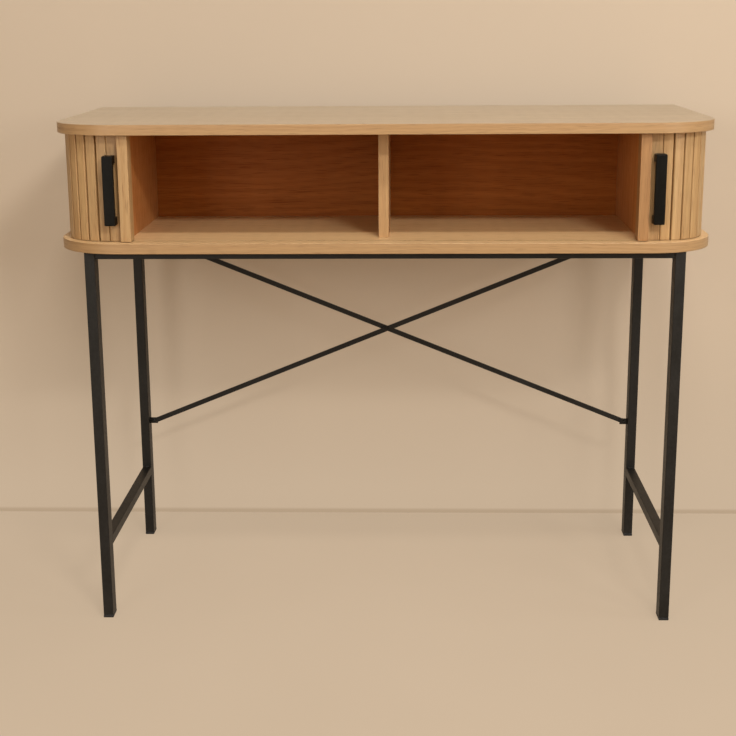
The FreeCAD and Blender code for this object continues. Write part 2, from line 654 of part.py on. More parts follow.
handle_middle = f"(({DECK} + {CEILING}) / 2 - Sizes.handle_drop)"
handle_low = f"({handle_middle} - Sizes.handle_height / 2)"
handle_high = f"({handle_middle} + Sizes.handle_height / 2)"
slat_face_y = f"({CANVAS_FRONT} - Sizes.slat_thickness)"
handle_back = f"({slat_face_y} - Sizes.handle_finger_gap)"
handle_front = f"({handle_back} - Sizes.handle_bar_thickness)"
canvas_back = f"({CANVAS_FRONT} + Sizes.canvas_thickness)"
handle_screw_hole = "(Sizes.handle_screw_radius + Sizes.fixing_gap / 2)"
handle_screw_length = "(Sizes.canvas_thickness + Sizes.slat_thickness + Sizes.handle_screw_grip)"
handle_screw_heights = [
    f"({handle_low} + Sizes.handle_post_height / 2)",
    f"({handle_high} - Sizes.handle_post_height / 2)",
]
stile_front = f"({FRONT} + Sizes.stile_recess)"
stile_back = f"({stile_front} + Sizes.stile_depth)"

for side in SIDES:
    stile_x = on_side(side, OPENING_HALF, STILE_OUTER)
    stile = block(stile_x, (stile_front, stile_back), slat_z)
    stile_tongue_y = (f"({CANVAS_FRONT} - {tongue_far})", f"({CANVAS_FRONT} - {tongue_near})")
    stile_tongue = block(stile_x, stile_tongue_y, tongue_z)
    slot_x = on_side(side, f"({STILE_OUTER} - Sizes.canvas_tuck - Sizes.canvas_slot_gap)", STILE_OUTER)
    slot_y = (f"({CANVAS_FRONT} - Sizes.canvas_slot_gap)", f"({canvas_back} + Sizes.canvas_slot_gap)")
    keep(cut(fuse([stile, stile_tongue]), [block(slot_x, slot_y, slat_z)]), f"{side}_lead_stile")

    handle_x = at_side(side, f"({STILE_OUTER} + Sizes.handle_from_stile)")
    first_x = at_side(side, f"({STILE_OUTER} + Sizes.handle_slat_pitch / 2)")
    first_slat = move(slat(half_handle_slat), first_x, CANVAS_FRONT, "0")
    slat_holes = [
        rod(handle_screw_hole, "Sizes.slat_thickness", handle_x, slat_face_y, z, "y")
        for z in handle_screw_heights
    ]
    second_slat = move(slat(), at_side(side, CORNER_X), CANVAS_FRONT, "0")
    keep(group([cut(first_slat, slat_holes), second_slat]), f"{side}_front_slats")

    canvas_x = on_side(side, f"({STILE_OUTER} - Sizes.canvas_tuck)", f"({CORNER_X} + {half_slat})")
    canvas_holes = [
        rod(handle_screw_hole, "Sizes.canvas_thickness", handle_x, CANVAS_FRONT, z, "y")
        for z in handle_screw_heights
    ]
    front_canvas = block(canvas_x, (CANVAS_FRONT, canvas_back), slat_z)
    keep(cut(front_canvas, canvas_holes), f"{side}_front_canvas")

    half_handle = "(Sizes.handle_width / 2)"
    bar_x = (f"({handle_x} - {half_handle})", f"({handle_x} + {half_handle})")
    bar = block(bar_x, (handle_front, handle_back), (handle_low, handle_high))
    feet_z = (
        (handle_low, f"({handle_low} + Sizes.handle_post_height)"),
        (f"({handle_high} - Sizes.handle_post_height)", handle_high),
    )
    posts = [block(bar_x, (handle_back, slat_face_y), z) for z in feet_z]
    screw_start = f"({slat_face_y} - Sizes.handle_screw_grip - Sizes.fixing_gap)"
    thread_length = "(Sizes.handle_screw_grip + Sizes.fixing_gap)"
    threads = [
        rod(handle_screw_hole, thread_length, handle_x, screw_start, z, "y") for z in handle_screw_heights
    ]
    keep(cut(fuse([bar] + posts), threads), f"{side}_handle")

    handle_screws = [
        screw(
            "Sizes.handle_screw_radius", handle_screw_length, "Sizes.handle_screw_head_radius",
            "Sizes.handle_screw_head_height", handle_x, canvas_back, z, "-y"
        )
        for z in handle_screw_heights
    ]
    keep(group(handle_screws), f"{side}_handle_screws")

    for number in range(1, SIZES["corner_pitches"]):
        keep(corner_slat(side, number), f"{side}_corner_slat_{number}")
    keep(group([side_slat(side, steps) for steps in range(side_slat_count)]), f"{side}_side_slats")
    strip_x = on_side(side, f"({CANVAS_SIDE} - Sizes.canvas_thickness)", CANVAS_SIDE)
    strip_y = (
        f"({CORNER_Y} - {half_slat})",
        f"({CORNER_Y} + {side_slat_count - 1} * Sizes.slat_pitch + {half_slat})",
    )
    keep(block(strip_x, strip_y, slat_z), f"{side}_side_canvas")

doc.recompute()
for item in doc.Objects:
    if "Invalid" in item.State or "Error" in item.State:
        raise RuntimeError(f"{item.Label} did not build: {item.State}")
os.makedirs("parts", exist_ok=True)
for item in nodes:
    if item.Shape.isNull() or not item.Shape.isValid():
        raise RuntimeError(f"{item.Label} has no valid shape")
    item.Shape.exportStep(os.path.join("parts", f"{item.Label}.step"))
    print(item.Label, len(item.Shape.Solids), round(item.Shape.Volume / 1000, 2), "cm3")
print(len(nodes), "nodes,", side_slat_count, "side slats to a door")
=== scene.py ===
# %% [markdown]
# # A tambour desk in oak and black steel
# The desk is a shallow oak box on a thin steel frame. Two doors of narrow upright slats run in grooves
# round its front corners. The solid model already has every piece in its true place, so this lesson
# loads it as a fixed frame and works only on what the eye adds: soft edges, grain, coating and light.

# %% Load the desk
import json
import math
import random

import bmesh
import bpy
from mathutils import Matrix, Vector

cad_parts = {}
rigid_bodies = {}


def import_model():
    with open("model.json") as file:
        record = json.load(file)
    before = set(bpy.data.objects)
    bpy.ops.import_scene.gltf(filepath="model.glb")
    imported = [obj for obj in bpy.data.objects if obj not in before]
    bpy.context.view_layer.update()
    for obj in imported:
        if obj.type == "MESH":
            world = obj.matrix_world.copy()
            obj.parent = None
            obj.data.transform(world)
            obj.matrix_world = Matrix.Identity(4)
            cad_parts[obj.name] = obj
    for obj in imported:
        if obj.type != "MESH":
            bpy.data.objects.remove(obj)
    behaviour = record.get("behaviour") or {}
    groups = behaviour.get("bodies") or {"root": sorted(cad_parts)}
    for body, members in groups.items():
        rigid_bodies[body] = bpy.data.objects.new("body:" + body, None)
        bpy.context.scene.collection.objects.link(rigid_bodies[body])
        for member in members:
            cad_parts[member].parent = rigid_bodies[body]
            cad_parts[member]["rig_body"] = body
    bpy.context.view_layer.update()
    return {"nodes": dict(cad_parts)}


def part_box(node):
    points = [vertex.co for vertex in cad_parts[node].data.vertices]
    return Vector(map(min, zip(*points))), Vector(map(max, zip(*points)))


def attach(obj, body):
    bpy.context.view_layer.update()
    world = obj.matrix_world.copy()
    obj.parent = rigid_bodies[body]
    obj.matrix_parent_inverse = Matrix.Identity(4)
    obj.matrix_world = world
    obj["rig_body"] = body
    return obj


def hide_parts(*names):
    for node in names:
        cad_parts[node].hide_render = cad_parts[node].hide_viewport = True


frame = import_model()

MM = 0.001
SIDES = {"left": -1, "right": 1}
scene = bpy.context.scene
scene.view_settings.view_transform = "Standard"


# %% [markdown]
# ## The camera
# A camera could be aimed by eye. Here its place, its three angles and its focal length were solved from
# the desk's own corners, so the picture's lines fall on the model's lines. The picture is square, and
# the focal length in pixels becomes a lens length by the ratio of sensor width to picture width.

# %% Camera
PICTURE_SIDE = 736
FOCAL_PIXELS = 1413.017
CAMERA_PLACE = Vector((0.033733, -2.189795, 0.896564))
# Three angles in radians.
LOOK_DOWN = 0.24458
TURN_LEFT = 0.0283
LEAN = -0.00642


def aimed_camera():
    """A camera whose axes come from a downward look, a turn to the left and a small lean."""
    lens_data = bpy.data.cameras.new("viewpoint")
    lens_data.lens = FOCAL_PIXELS * lens_data.sensor_width / PICTURE_SIDE
    camera = bpy.data.objects.new("viewpoint", lens_data)
    scene.collection.objects.link(camera)
    level = math.cos(LOOK_DOWN)
    ahead = Vector((-math.sin(TURN_LEFT) * level, math.cos(TURN_LEFT) * level, -math.sin(LOOK_DOWN)))
    right = Vector((math.cos(TURN_LEFT), math.sin(TURN_LEFT), 0))
    up = right.cross(ahead)
    leaned_right = right * math.cos(LEAN) + up * math.sin(LEAN)
    leaned_up = up * math.cos(LEAN) - right * math.sin(LEAN)
    axes = Matrix((leaned_right, leaned_up, -ahead)).transposed().to_4x4()
    axes.translation = CAMERA_PLACE
    camera.matrix_world = axes
    return camera


scene.camera = aimed_camera()
print("lens in mm:", round(scene.camera.data.lens, 2))

# %% [markdown]
# ## Small helpers for nodes
# Shader nodes can be wired one call at a time, but the wiring then hides the idea. These helpers add a
# node and fill its sockets in one line: a number or colour is set on the socket, and another node's
# output is linked to it. Colours are written as screen values and turned into linear light.

# %% Colours and sockets


def linear(red, green, blue):
    """A screen colour from 0 to 255 as linear light, by the usual screen curve, with full alpha."""
    channels = []
    for value in (red, green, blue):
        share = value / 255
        channels.append(share / 12.92 if share <= 0.04045 else ((share + 0.055) / 1.055) ** 2.4)
    return (*channels, 1.0)


def fill(tree, item, sockets):
    """Set numbers and colours on a node's sockets, and link other nodes' outputs to them."""
    for name, value in sockets.items():
        if isinstance(value, bpy.types.NodeSocket):
            tree.links.new(value, item.inputs[name])
        else:
            item.inputs[name].default_value = value
    return item


def put(tree, kind, sockets=None, **settings):
    """Add a node, choose its settings and fill its sockets."""
    item = tree.nodes.new(kind)
    for name, value in settings.items():
        setattr(item, name, value)
    return fill(tree, item, sockets or {})


print("a mid grey of 188 is", round(linear(188, 188, 188)[0], 3), "in linear light")

# %% [markdown]
# ## Sums, noises and mixes
# Most marks on wood and paint are a noise that is drawn out one way, cut off at both ends and added to
# others. These few moves come again and again, so each has a short name of its own.

# %% Sums, noises and mixes
# A Mix node has its sockets for colours behind those for numbers and vectors.
MIX_SHARE, MIX_FIRST, MIX_SECOND = 0, 6, 7
MIX_COLOUR = 2


def calc(tree, operation, first, second=0.0, clamp=False):
    sockets = {0: first, 1: second}
    return put(tree, "ShaderNodeMath", sockets, operation=operation, use_clamp=clamp).outputs[0]


def plus_share(tree, total, value, share, clamp=False):
    """A total with a share of another value added to it."""
    return calc(tree, "ADD", total, calc(tree, "MULTIPLY", value, share), clamp)


def own_place(tree):
    """The place on a piece, in metres."""
    return put(tree, "ShaderNodeTexCoord").outputs["Object"]


def stretch(tree, place, factors):
    """Scale a place along its three axes."""
    return put(tree, "ShaderNodeVectorMath", {0: place, 1: factors}, operation="MULTIPLY").outputs[0]


def noise(tree, place, scale=1.0, detail=2.0, roughness=0.5):
    sockets = {"Vector": place, "Scale": scale, "Detail": detail, "Roughness": roughness}
    return put(tree, "ShaderNodeTexNoise", sockets).outputs["Fac"]


def ramp(tree, value, low, high, to_low=0.0, to_high=1.0):
    """Spread the values between low and high over a new range, and hold them at its ends."""
    sockets = {"Value": value, "From Min": low, "From Max": high, "To Min": to_low, "To Max": to_high}
    return put(tree, "ShaderNodeMapRange", sockets).outputs["Result"]


def mixed(tree, share, first, second, kind="MIX"):
    """Two colours mixed by a share from 0 to 1."""
    item = put(tree, "ShaderNodeMix", data_type="RGBA", blend_type=kind)
    fill(tree, item, {MIX_SHARE: share, MIX_FIRST: first, MIX_SECOND: second})
    return item.outputs[MIX_COLOUR]


print("moves:", [move.__name__ for move in (calc, plus_share, stretch, noise, ramp, mixed)])

# %% [markdown]
# ## Groups and materials
# An effect that several finishes share is a node group: it is built once, with named sockets, and placed
# in each material with its own values. A group gives only colours, masks, values and heights. The
# surface shader and the relief on it stay in the material, where an export can read them.

# %% Groups and materials


def new_group(name, inputs, outputs):
    """An empty shader group with named sockets."""
    tree = bpy.data.node_groups.new(name, "ShaderNodeTree")
    for label, (kind, value) in inputs.items():
        socket = tree.interface.new_socket(label, in_out="INPUT", socket_type="NodeSocket" + kind)
        socket.default_value = value
    for label, kind in outputs.items():
        tree.interface.new_socket(label, in_out="OUTPUT", socket_type="NodeSocket" + kind)
    return tree, tree.nodes.new("NodeGroupInput").outputs, tree.nodes.new("NodeGroupOutput")


def use_group(tree, group, sockets):
    item = put(tree, "ShaderNodeGroup", node_tree=group)
    return fill(tree, item, sockets).outputs


def new_material(name):
    """A material with its surface shader, ready for nodes."""
    material = bpy.data.materials.new(name)
    material.use_nodes = True
    tree = material.node_tree
    return material, tree, tree.nodes["Principled BSDF"]


def relief(tree, height, strength, depth):
    """A normal that shows a height as relief of some depth."""
    sockets = {"Height": height, "Strength": strength, "Distance": depth}
    return put(tree, "ShaderNodeBump", sockets).outputs[0]


def blended(tree, share, first, second):
    """Two shaders mixed by a share from 0 to 1."""
    return put(tree, "ShaderNodeMixShader", {0: share, 1: first, 2: second}).outputs[0]


print("materials that came with the solids:", len(bpy.data.materials))

# %% [markdown]
# ## The stage
# The desk stands on a pale beige floor, close to a wall of the same beige. A room could be built, but
# two sheets do the same work. Both show a share of their own colour to the camera, which keeps the
# shadows on them pale. That colour is for the eye and for reflections only, and puts no light on the
# desk.

# %% Sheets and what the eye sees
BEIGE = linear(203, 180, 153)
ROOM_HALF = 6.0
STAGE_GLOSS = 0.2


def stage_sheet(name, corners, material):
    mesh = bpy.data.meshes.new(name)
    mesh.from_pydata(corners, [], [list(range(len(corners)))])
    mesh.materials.append(material)
    sheet = bpy.data.objects.new(name, mesh)
    scene.collection.objects.link(sheet)
    return sheet


def seen_by_eye(tree):
    """One for rays from the camera, or from it by way of gloss or glass; nought for light on the desk."""
    path = put(tree, "ShaderNodeLightPath").outputs
    seen = calc(tree, "MAXIMUM", path["Is Camera Ray"], path["Is Glossy Ray"])
    return calc(tree, "MAXIMUM", seen, path["Is Transmission Ray"])


def from_behind(tree):
    """One where a sheet is seen from its back."""
    return put(tree, "ShaderNodeNewGeometry").outputs["Backfacing"]


def clear(tree):
    return put(tree, "ShaderNodeBsdfTransparent").outputs[0]


def with_own_colour(tree, shader, tint, share):
    """A lit surface mixed with its own colour at full strength."""
    own = put(tree, "ShaderNodeEmission", {"Color": tint, "Strength": 1.0}).outputs[0]
    return blended(tree, share, shader.outputs[0], own)


print("beige in linear light:", [round(channel, 3) for channel in BEIGE[:3]])

# %% [markdown]
# ## The floor
# The floor has two close tones that drift into each other over a metre or so. It could hide the desk
# from below, so it is clear to a camera under it, and the underside can be looked at too. It lies a
# hair below the feet, so that the two don't share a plane.

# %% Floor
FLOOR_DROP = 0.3 * MM
FLOOR_DARK = linear(205, 182, 155)
FLOOR_LIGHT = linear(209, 186, 159)
FLOOR_DRIFT = 1.3
FLOOR_DRIFT_RANGE = (0.3, 0.7)
FLOOR_ROUGH = 0.75
FLOOR_OWN_SHARE = 0.7


def floor_finish():
    material, tree, shader = new_material("beige_floor")
    cloud = ramp(tree, noise(tree, own_place(tree), FLOOR_DRIFT, detail=3.0), *FLOOR_DRIFT_RANGE)
    tint = mixed(tree, cloud, FLOOR_DARK, FLOOR_LIGHT)
    fill(tree, shader, {"Base Color": tint, "Roughness": FLOOR_ROUGH, "Specular IOR Level": STAGE_GLOSS})
    seen = seen_by_eye(tree)
    paint = with_own_colour(tree, shader, tint, calc(tree, "MULTIPLY", seen, FLOOR_OWN_SHARE))
    seen_from_below = calc(tree, "MULTIPLY", seen, from_behind(tree))
    both = blended(tree, seen_from_below, paint, clear(tree))
    fill(tree, tree.nodes["Material Output"], {"Surface": both})
    return material


floor_corners = [(x, y, -FLOOR_DROP) for x, y in (
    (-ROOM_HALF, -ROOM_HALF), (ROOM_HALF, -ROOM_HALF), (ROOM_HALF, ROOM_HALF), (-ROOM_HALF, ROOM_HALF)
)]
floor = stage_sheet("floor", floor_corners, floor_finish())
print(floor.name, "is", 2 * ROOM_HALF, "m wide")

# %% [markdown]
# ## The wall
# The wall shows only to the camera and to reflections, and only from its front. So it takes the desk's
# shadow without hiding the desk from behind or closing in its light. It glows with a share of its own
# colour, which is painted light: the share is larger near the floor, so the shadow on it fades downwards.
# Its paint is a little cooler than the beige it should show, because the light on it is warm, and a thin
# painted shadow darkens its foot, where it meets the floor.

# %% Wall
WALL_PAINT = linear(203, 183, 159)
# A thin band of painted shadow along the wall's foot, where it meets the floor.
WALL_FOOT_SHADE = linear(186, 163, 136)
FOOT_SHADE_HEIGHT = 5 * MM
WALL_Y = 0.293
WALL_HEIGHT = 4.0
WALL_ROUGH = 0.85
WALL_SHADE_FROM = 0.05
WALL_SHADE_FULL = 0.5
# The share of its own colour that glows as painted light, near the floor and higher up.
WALL_GLOW_SHARES = (0.85, 0.1)


def wall_finish():
    material, tree, shader = new_material("beige_wall")
    height = put(tree, "ShaderNodeSeparateXYZ", {0: own_place(tree)}).outputs["Z"]
    # Painted shadow: the wall darkens in its lowest few millimetres.
    foot = ramp(tree, height, FOOT_SHADE_HEIGHT, 2 * FOOT_SHADE_HEIGHT)
    paint = mixed(tree, foot, WALL_FOOT_SHADE, WALL_PAINT)
    tint = mixed(tree, foot, WALL_FOOT_SHADE, BEIGE)
    fill(tree, shader, {"Base Color": paint, "Roughness": WALL_ROUGH, "Specular IOR Level": STAGE_GLOSS})
    in_front = calc(tree, "SUBTRACT", 1.0, from_behind(tree))
    shown = calc(tree, "MULTIPLY", seen_by_eye(tree), in_front)
    # Painted light: the wall glows more near the floor, so the desk's shadow on it fades downwards.
    glow_share = ramp(tree, height, WALL_SHADE_FROM, WALL_SHADE_FULL, *WALL_GLOW_SHARES)
    plaster = with_own_colour(tree, shader, tint, glow_share)
    both = blended(tree, shown, clear(tree), plaster)
    fill(tree, tree.nodes["Material Output"], {"Surface": both})
    return material


wall_corners = [
    (-ROOM_HALF, WALL_Y, 0), (ROOM_HALF, WALL_Y, 0),
    (ROOM_HALF, WALL_Y, WALL_HEIGHT), (-ROOM_HALF, WALL_Y, WALL_HEIGHT),
]
stage_sheet("wall", wall_corners, wall_finish())

# %% [markdown]
# ## Light
# Four soft lamps stand in front of the desk: a strong one at the right, two low ones at the sides, and
# one high up that reaches only the front of the shelf. Their directions follow the shadow edges inside
# the compartments and at the feet. A fifth, a little cooler, stands far to the right, as a window would,
# and lights the right corners and the top. A lamp's power is worked out from the share of plain light it
# should give, so that all of them and the dim sky together show a colour about as it is written.

# %% Lamps
AIM = Vector((0, 0, 0.6))
LAMP_DISTANCE = 3.0
WHITE_LIGHT = (1.0, 1.0, 1.0)
WINDOW_LIGHT = (0.86, 1.0, 1.1)
# Each lamp: its direction across, towards the viewer and up, its share of the light, its width and
# height in metres, and its tint.
LAMPS = {
    "right_softbox": (Vector((0.40, -1, 0.62)), 0.35, 0.6, 0.16, WHITE_LIGHT),
    "right_side_softbox": (Vector((0.95, -1, 0.32)), 0.17, 0.8, 0.8, WHITE_LIGHT),
    "left_side_softbox": (Vector((-0.50, -1, 0.22)), 0.16, 0.8, 0.8, WHITE_LIGHT),
    "high_softbox": (Vector((0.16, -1, 1.34)), 0.38, 0.6, 0.2, WHITE_LIGHT),
    "far_right_softbox": (Vector((1, -0.25, 0.5)), 0.13, 1.0, 1.0, WINDOW_LIGHT),
}


def softbox(name, direction, share, width, height, tint):
    """A lamp aimed at the desk; its power gives that share of plain light at its distance."""
    data = bpy.data.lights.new(name, "AREA")
    data.shape = "RECTANGLE"
    data.size = width
    data.size_y = height
    data.energy = share * math.pi ** 2 * LAMP_DISTANCE ** 2
    data.color = tint
    lamp = bpy.data.objects.new(name, data)
    scene.collection.objects.link(lamp)
    away = direction.normalized()
    lamp.location = AIM + away * LAMP_DISTANCE
    lamp.rotation_mode = "QUATERNION"
    lamp.rotation_quaternion = (-away).to_track_quat("-Z", "Y")
    return lamp


for lamp_name, lamp_settings in LAMPS.items():
    lamp = softbox(lamp_name, *lamp_settings)
    print(lamp_name, round(lamp.data.energy, 1), "W at", [round(c, 2) for c in lamp.location])

# %% [markdown]
# ## The sky
# Light also comes back from a room's walls and ceiling. A dim warm sky stands in for that. The camera
# and reflections see the wall's beige in its place, so the backdrop goes on past the sheets.

# %% Sky
SKY_SHARE = 0.26
SKY_TINT = linear(255, 236, 208)


def sky():
    """Dim even light from all round, shown to the eye as the wall's beige."""
    world = bpy.data.worlds.new("studio")
    world.use_nodes = True
    tree = world.node_tree
    dim = put(tree, "ShaderNodeBackground", {"Color": SKY_TINT, "Strength": SKY_SHARE}).outputs[0]
    backdrop = put(tree, "ShaderNodeBackground", {"Color": BEIGE, "Strength": 1.0}).outputs[0]
    both = blended(tree, seen_by_eye(tree), dim, backdrop)
    fill(tree, tree.nodes["World Output"], {"Surface": both})
    return world


scene.world = sky()
lamp_share = sum(settings[1] for settings in LAMPS.values())
print("lamps give", round(lamp_share, 2), "and the sky", SKY_SHARE, "of plain light, each face on")

# %% [markdown]
# ## Oak veneer
# Oak is known by long straight bands, fine fibres, and short dark pores along the grain. A picture of
# wood could be wrapped round the boards, but it would stretch at the corners and repeat. A group of
# noises, each drawn out along the grain by its own amount, gives the same marks at their real size on
# any board. The first axis of the place given to it is the way of the grain, in metres.

# %% Oak veneer group
# Marks to a metre, along the grain and across it.
BAND_MARKS = (1.1, 62, 62)
DRIFT_MARKS = (2.2, 9, 9)
FIBRE_MARKS = (8, 640, 640)
PORE_MARKS = (42, 1500, 1500)
# Year rings: radians to a metre, how far they slant, and how far they wander in metres.
RING_TURNS = 610
RING_SLANT = 0.7
RING_WANDER = 0.06
BAND_SHARE, RING_SHARE, FIBRE_SHARE = 0.62, 0.13, 0.25
MID_TONE = 0.5
PORE_FROM, PORE_FULL = 0.62, 0.74
PORE_TINT = linear(178, 160, 140)
PORE_DEPTH = 0.55
PORE_ROUGH = 0.15
DARK_ROUGH, LIGHT_ROUGH = 0.50, 0.38
FIBRE_RELIEF = 0.4
# How far a strip's number shifts its grain, in metres.
SEED_SHIFT = {"X": 3.7, "Y": 1.9, "Z": 2.3}


def oak_veneer_group():
    tree, given, result = new_group(
        "oak_veneer",
        {
            "Place": ("Vector", (0, 0, 0)),
            "Seed": ("Float", 0.0),
            "Light Wood": ("Color", (1, 1, 1, 1)),
            "Dark Wood": ("Color", (0, 0, 0, 1)),
            "Figure": ("Float", 1.0),
        },
        {"Color": "Color", "Roughness": "Float", "Height": "Float"},
    )
    shifts = {axis: calc(tree, "MULTIPLY", given["Seed"], far) for axis, far in SEED_SHIFT.items()}
    shift = put(tree, "ShaderNodeCombineXYZ", shifts).outputs[0]
    place = put(tree, "ShaderNodeVectorMath", {0: given["Place"], 1: shift}).outputs[0]
    bands = noise(tree, stretch(tree, place, BAND_MARKS), detail=4.0, roughness=0.6)
    drift = noise(tree, stretch(tree, place, DRIFT_MARKS), detail=2.0)
    across = put(tree, "ShaderNodeSeparateXYZ", {0: place}).outputs
    ring_place = plus_share(tree, across["Y"], across["Z"], RING_SLANT)
    ring_place = plus_share(tree, ring_place, drift, RING_WANDER)
    rings = ramp(tree, calc(tree, "SINE", calc(tree, "MULTIPLY", ring_place, RING_TURNS)), -1, 1)
    fibres = noise(tree, stretch(tree, place, FIBRE_MARKS), detail=3.0)
    pores = ramp(tree, noise(tree, stretch(tree, place, PORE_MARKS), detail=0.0), PORE_FROM, PORE_FULL)
    tone = plus_share(tree, calc(tree, "MULTIPLY", bands, BAND_SHARE), rings, RING_SHARE)
    tone = plus_share(tree, tone, fibres, FIBRE_SHARE)
    contrast = calc(tree, "MULTIPLY", calc(tree, "SUBTRACT", tone, MID_TONE), given["Figure"])
    tone = calc(tree, "ADD", contrast, MID_TONE, clamp=True)
    plain = mixed(tree, tone, given["Dark Wood"], given["Light Wood"])
    in_pore = mixed(tree, 1.0, plain, PORE_TINT, "MULTIPLY")
    colour = mixed(tree, calc(tree, "MULTIPLY", pores, PORE_DEPTH), plain, in_pore)
    rough = plus_share(tree, ramp(tree, tone, 0, 1, DARK_ROUGH, LIGHT_ROUGH), pores, PORE_ROUGH)
    height = calc(tree, "SUBTRACT", calc(tree, "MULTIPLY", fibres, FIBRE_RELIEF), pores)
    fill(tree, result, {"Color": colour, "Roughness": rough, "Height": height})
    return tree


OAK_VENEER = oak_veneer_group()
print("oak_veneer nodes:", len(OAK_VENEER.nodes))

# %% [markdown]
# ## Edge wear, painted edge highlights and handled surfaces
# Hands and cloths polish the edges of furniture and leave faint patches on its faces. Painting those by
# hand would take hours. The edge group compares the true surface with a rounded copy of it: where the
# two differ there is an edge, and a noise breaks the line up. On oak the edge mask paints a pale line that
# is partly worn edge and partly painted highlight along the arrises; on the dark coats it is wear. The
# handling group is a slow, cloudy noise.

# %% Edge and handling groups
EDGE_SAMPLES = 6
# An edge begins to show where the two surfaces agree less than this, and shows fully at the second value.
EDGE_FROM, EDGE_FULL = 0.97, 0.80
BREAK_FROM, BREAK_FULL = 0.30, 0.62
CLOUD_FROM, CLOUD_FULL = 0.36, 0.66


def edge_wear_and_highlight_group():
    tree, given, result = new_group(
        "edge_wear_and_highlight",
        {"Place": ("Vector", (0, 0, 0)), "Reach": ("Float", 1.0 * MM), "Patches": ("Float", 60.0)},
        {"Mask": "Float"},
    )
    rounded = put(tree, "ShaderNodeBevel", {"Radius": given["Reach"]}, samples=EDGE_SAMPLES).outputs[0]
    true_normal = put(tree, "ShaderNodeNewGeometry").outputs["True Normal"]
    normals = {0: rounded, 1: true_normal}
    agreement = put(tree, "ShaderNodeVectorMath", normals, operation="DOT_PRODUCT").outputs["Value"]
    edge = ramp(tree, agreement, EDGE_FROM, EDGE_FULL)
    patches = noise(tree, given["Place"], given["Patches"], detail=3.0)
    mask = calc(tree, "MULTIPLY", edge, ramp(tree, patches, BREAK_FROM, BREAK_FULL))
    fill(tree, result, {"Mask": mask})
    return tree


def handling_group():
    tree, given, result = new_group(
        "handled_patches",
        {"Place": ("Vector", (0, 0, 0)), "Patches": ("Float", 7.0)},
        {"Mask": "Float"},
    )
    cloudy = noise(tree, given["Place"], given["Patches"], detail=4.0, roughness=0.55)
    fill(tree, result, {"Mask": ramp(tree, cloudy, CLOUD_FROM, CLOUD_FULL)})
    return tree


EDGE_WEAR_AND_HIGHLIGHT = edge_wear_and_highlight_group()
HANDLING = handling_group()
print("groups:", [group.name for group in bpy.data.node_groups])

# %% [markdown]
# ## The oak finishes
# The boards' grain runs along the desk, the slats and uprights have theirs upright, and the banding's
# follows the edge that it is glued to. One function makes every oak finish: it only turns the place so
# that the grain comes first, and picks the two wood tones. Slats are cut from many strips, so a number
# kept on each slat's faces shifts its grain and makes some strips a little lighter than their
# neighbours. The inner faces are painted browner and redder, as painted shade of the compartments, and
# duller. The deck is painted paler than plain oak, as painted light on the shelf floor under the top.
# The top is painted a little paler and greyer than plain oak, a painted sheen, and its shader adds a
# pale bloom at a low angle, as a matt lacquer has.

# %% Oak finish
ALONG_DESK = "XYZ"
UPRIGHT = "ZXY"
ROUND_EDGE = "RZZ"
SEED_NAME = "strip"
RUN_NAME = "run_along_edge"
STRIP_DARK, STRIP_LIGHT = 0.93, 1.05
OAK_EDGE = {"Reach": 1.3 * MM, "Patches": 45.0}
# The pale line along oak arrises is partly worn edge and partly painted highlight.
PALE_EDGE_HIGHLIGHT = linear(150, 146, 138)
EDGE_HIGHLIGHT_SHARE = 0.22
OAK_HANDLED = 9.0
POLISH = 0.06
OAK_RELIEF, OAK_RELIEF_DEPTH = 0.25, 0.15 * MM
BLOOM = {"Sheen Tint": linear(255, 243, 222), "Sheen Roughness": 0.45}


def oak_finish(name, grain, light, dark, figure=1.5, gloss=0.5, bloom=0.0, dulled=0.0):
    """Oak veneer in two tones, with its shine, its pale bloom at a low angle, and some added roughness."""
    material, tree, shader = new_material(name)
    place = own_place(tree)
    axes = dict(put(tree, "ShaderNodeSeparateXYZ", {0: place}).outputs.items())
    if grain == ROUND_EDGE:
        axes["R"] = put(tree, "ShaderNodeAttribute", attribute_name=RUN_NAME).outputs["Fac"]
    turned_axes = {to: axes[source] for to, source in zip("XYZ", grain)}
    turned_place = put(tree, "ShaderNodeCombineXYZ", turned_axes).outputs[0]
    strip = put(tree, "ShaderNodeAttribute", attribute_name=SEED_NAME).outputs["Fac"]
    tones = {"Light Wood": linear(*light), "Dark Wood": linear(*dark), "Figure": figure}
    wood = use_group(tree, OAK_VENEER, {"Place": turned_place, "Seed": strip, **tones})
    shade = ramp(tree, calc(tree, "FRACT", strip), 0, 1, STRIP_DARK, STRIP_LIGHT)
    strip_tone = put(tree, "ShaderNodeCombineXYZ", {"X": shade, "Y": shade, "Z": shade}).outputs[0]
    coloured = mixed(tree, 1.0, wood["Color"], strip_tone, "MULTIPLY")
    edge_mask = use_group(tree, EDGE_WEAR_AND_HIGHLIGHT, {"Place": place, **OAK_EDGE})["Mask"]
    # Painted highlight, with some edge wear: a pale line screened over the oak along its arrises.
    pale_highlight = mixed(tree, 1.0, coloured, PALE_EDGE_HIGHLIGHT, "SCREEN")
    with_edge_highlight = mixed(tree, calc(tree, "MULTIPLY", edge_mask, EDGE_HIGHLIGHT_SHARE), coloured, pale_highlight)
    handled = use_group(tree, HANDLING, {"Place": place, "Patches": OAK_HANDLED})["Mask"]
    rough = calc(tree, "SUBTRACT", wood["Roughness"], calc(tree, "MULTIPLY", handled, POLISH))
    rough = calc(tree, "ADD", rough, dulled)
    normal = relief(tree, wood["Height"], OAK_RELIEF, OAK_RELIEF_DEPTH)
    fill(tree, shader, {"Base Color": with_edge_highlight, "Roughness": rough, "Normal": normal})
    fill(tree, shader, {"Specular IOR Level": gloss, "Sheen Weight": bloom, **BLOOM})
    return material


# Light and dark wood of the faces that are plain oak.
PLAIN_OAK = (199, 160, 111), (168, 124, 77)
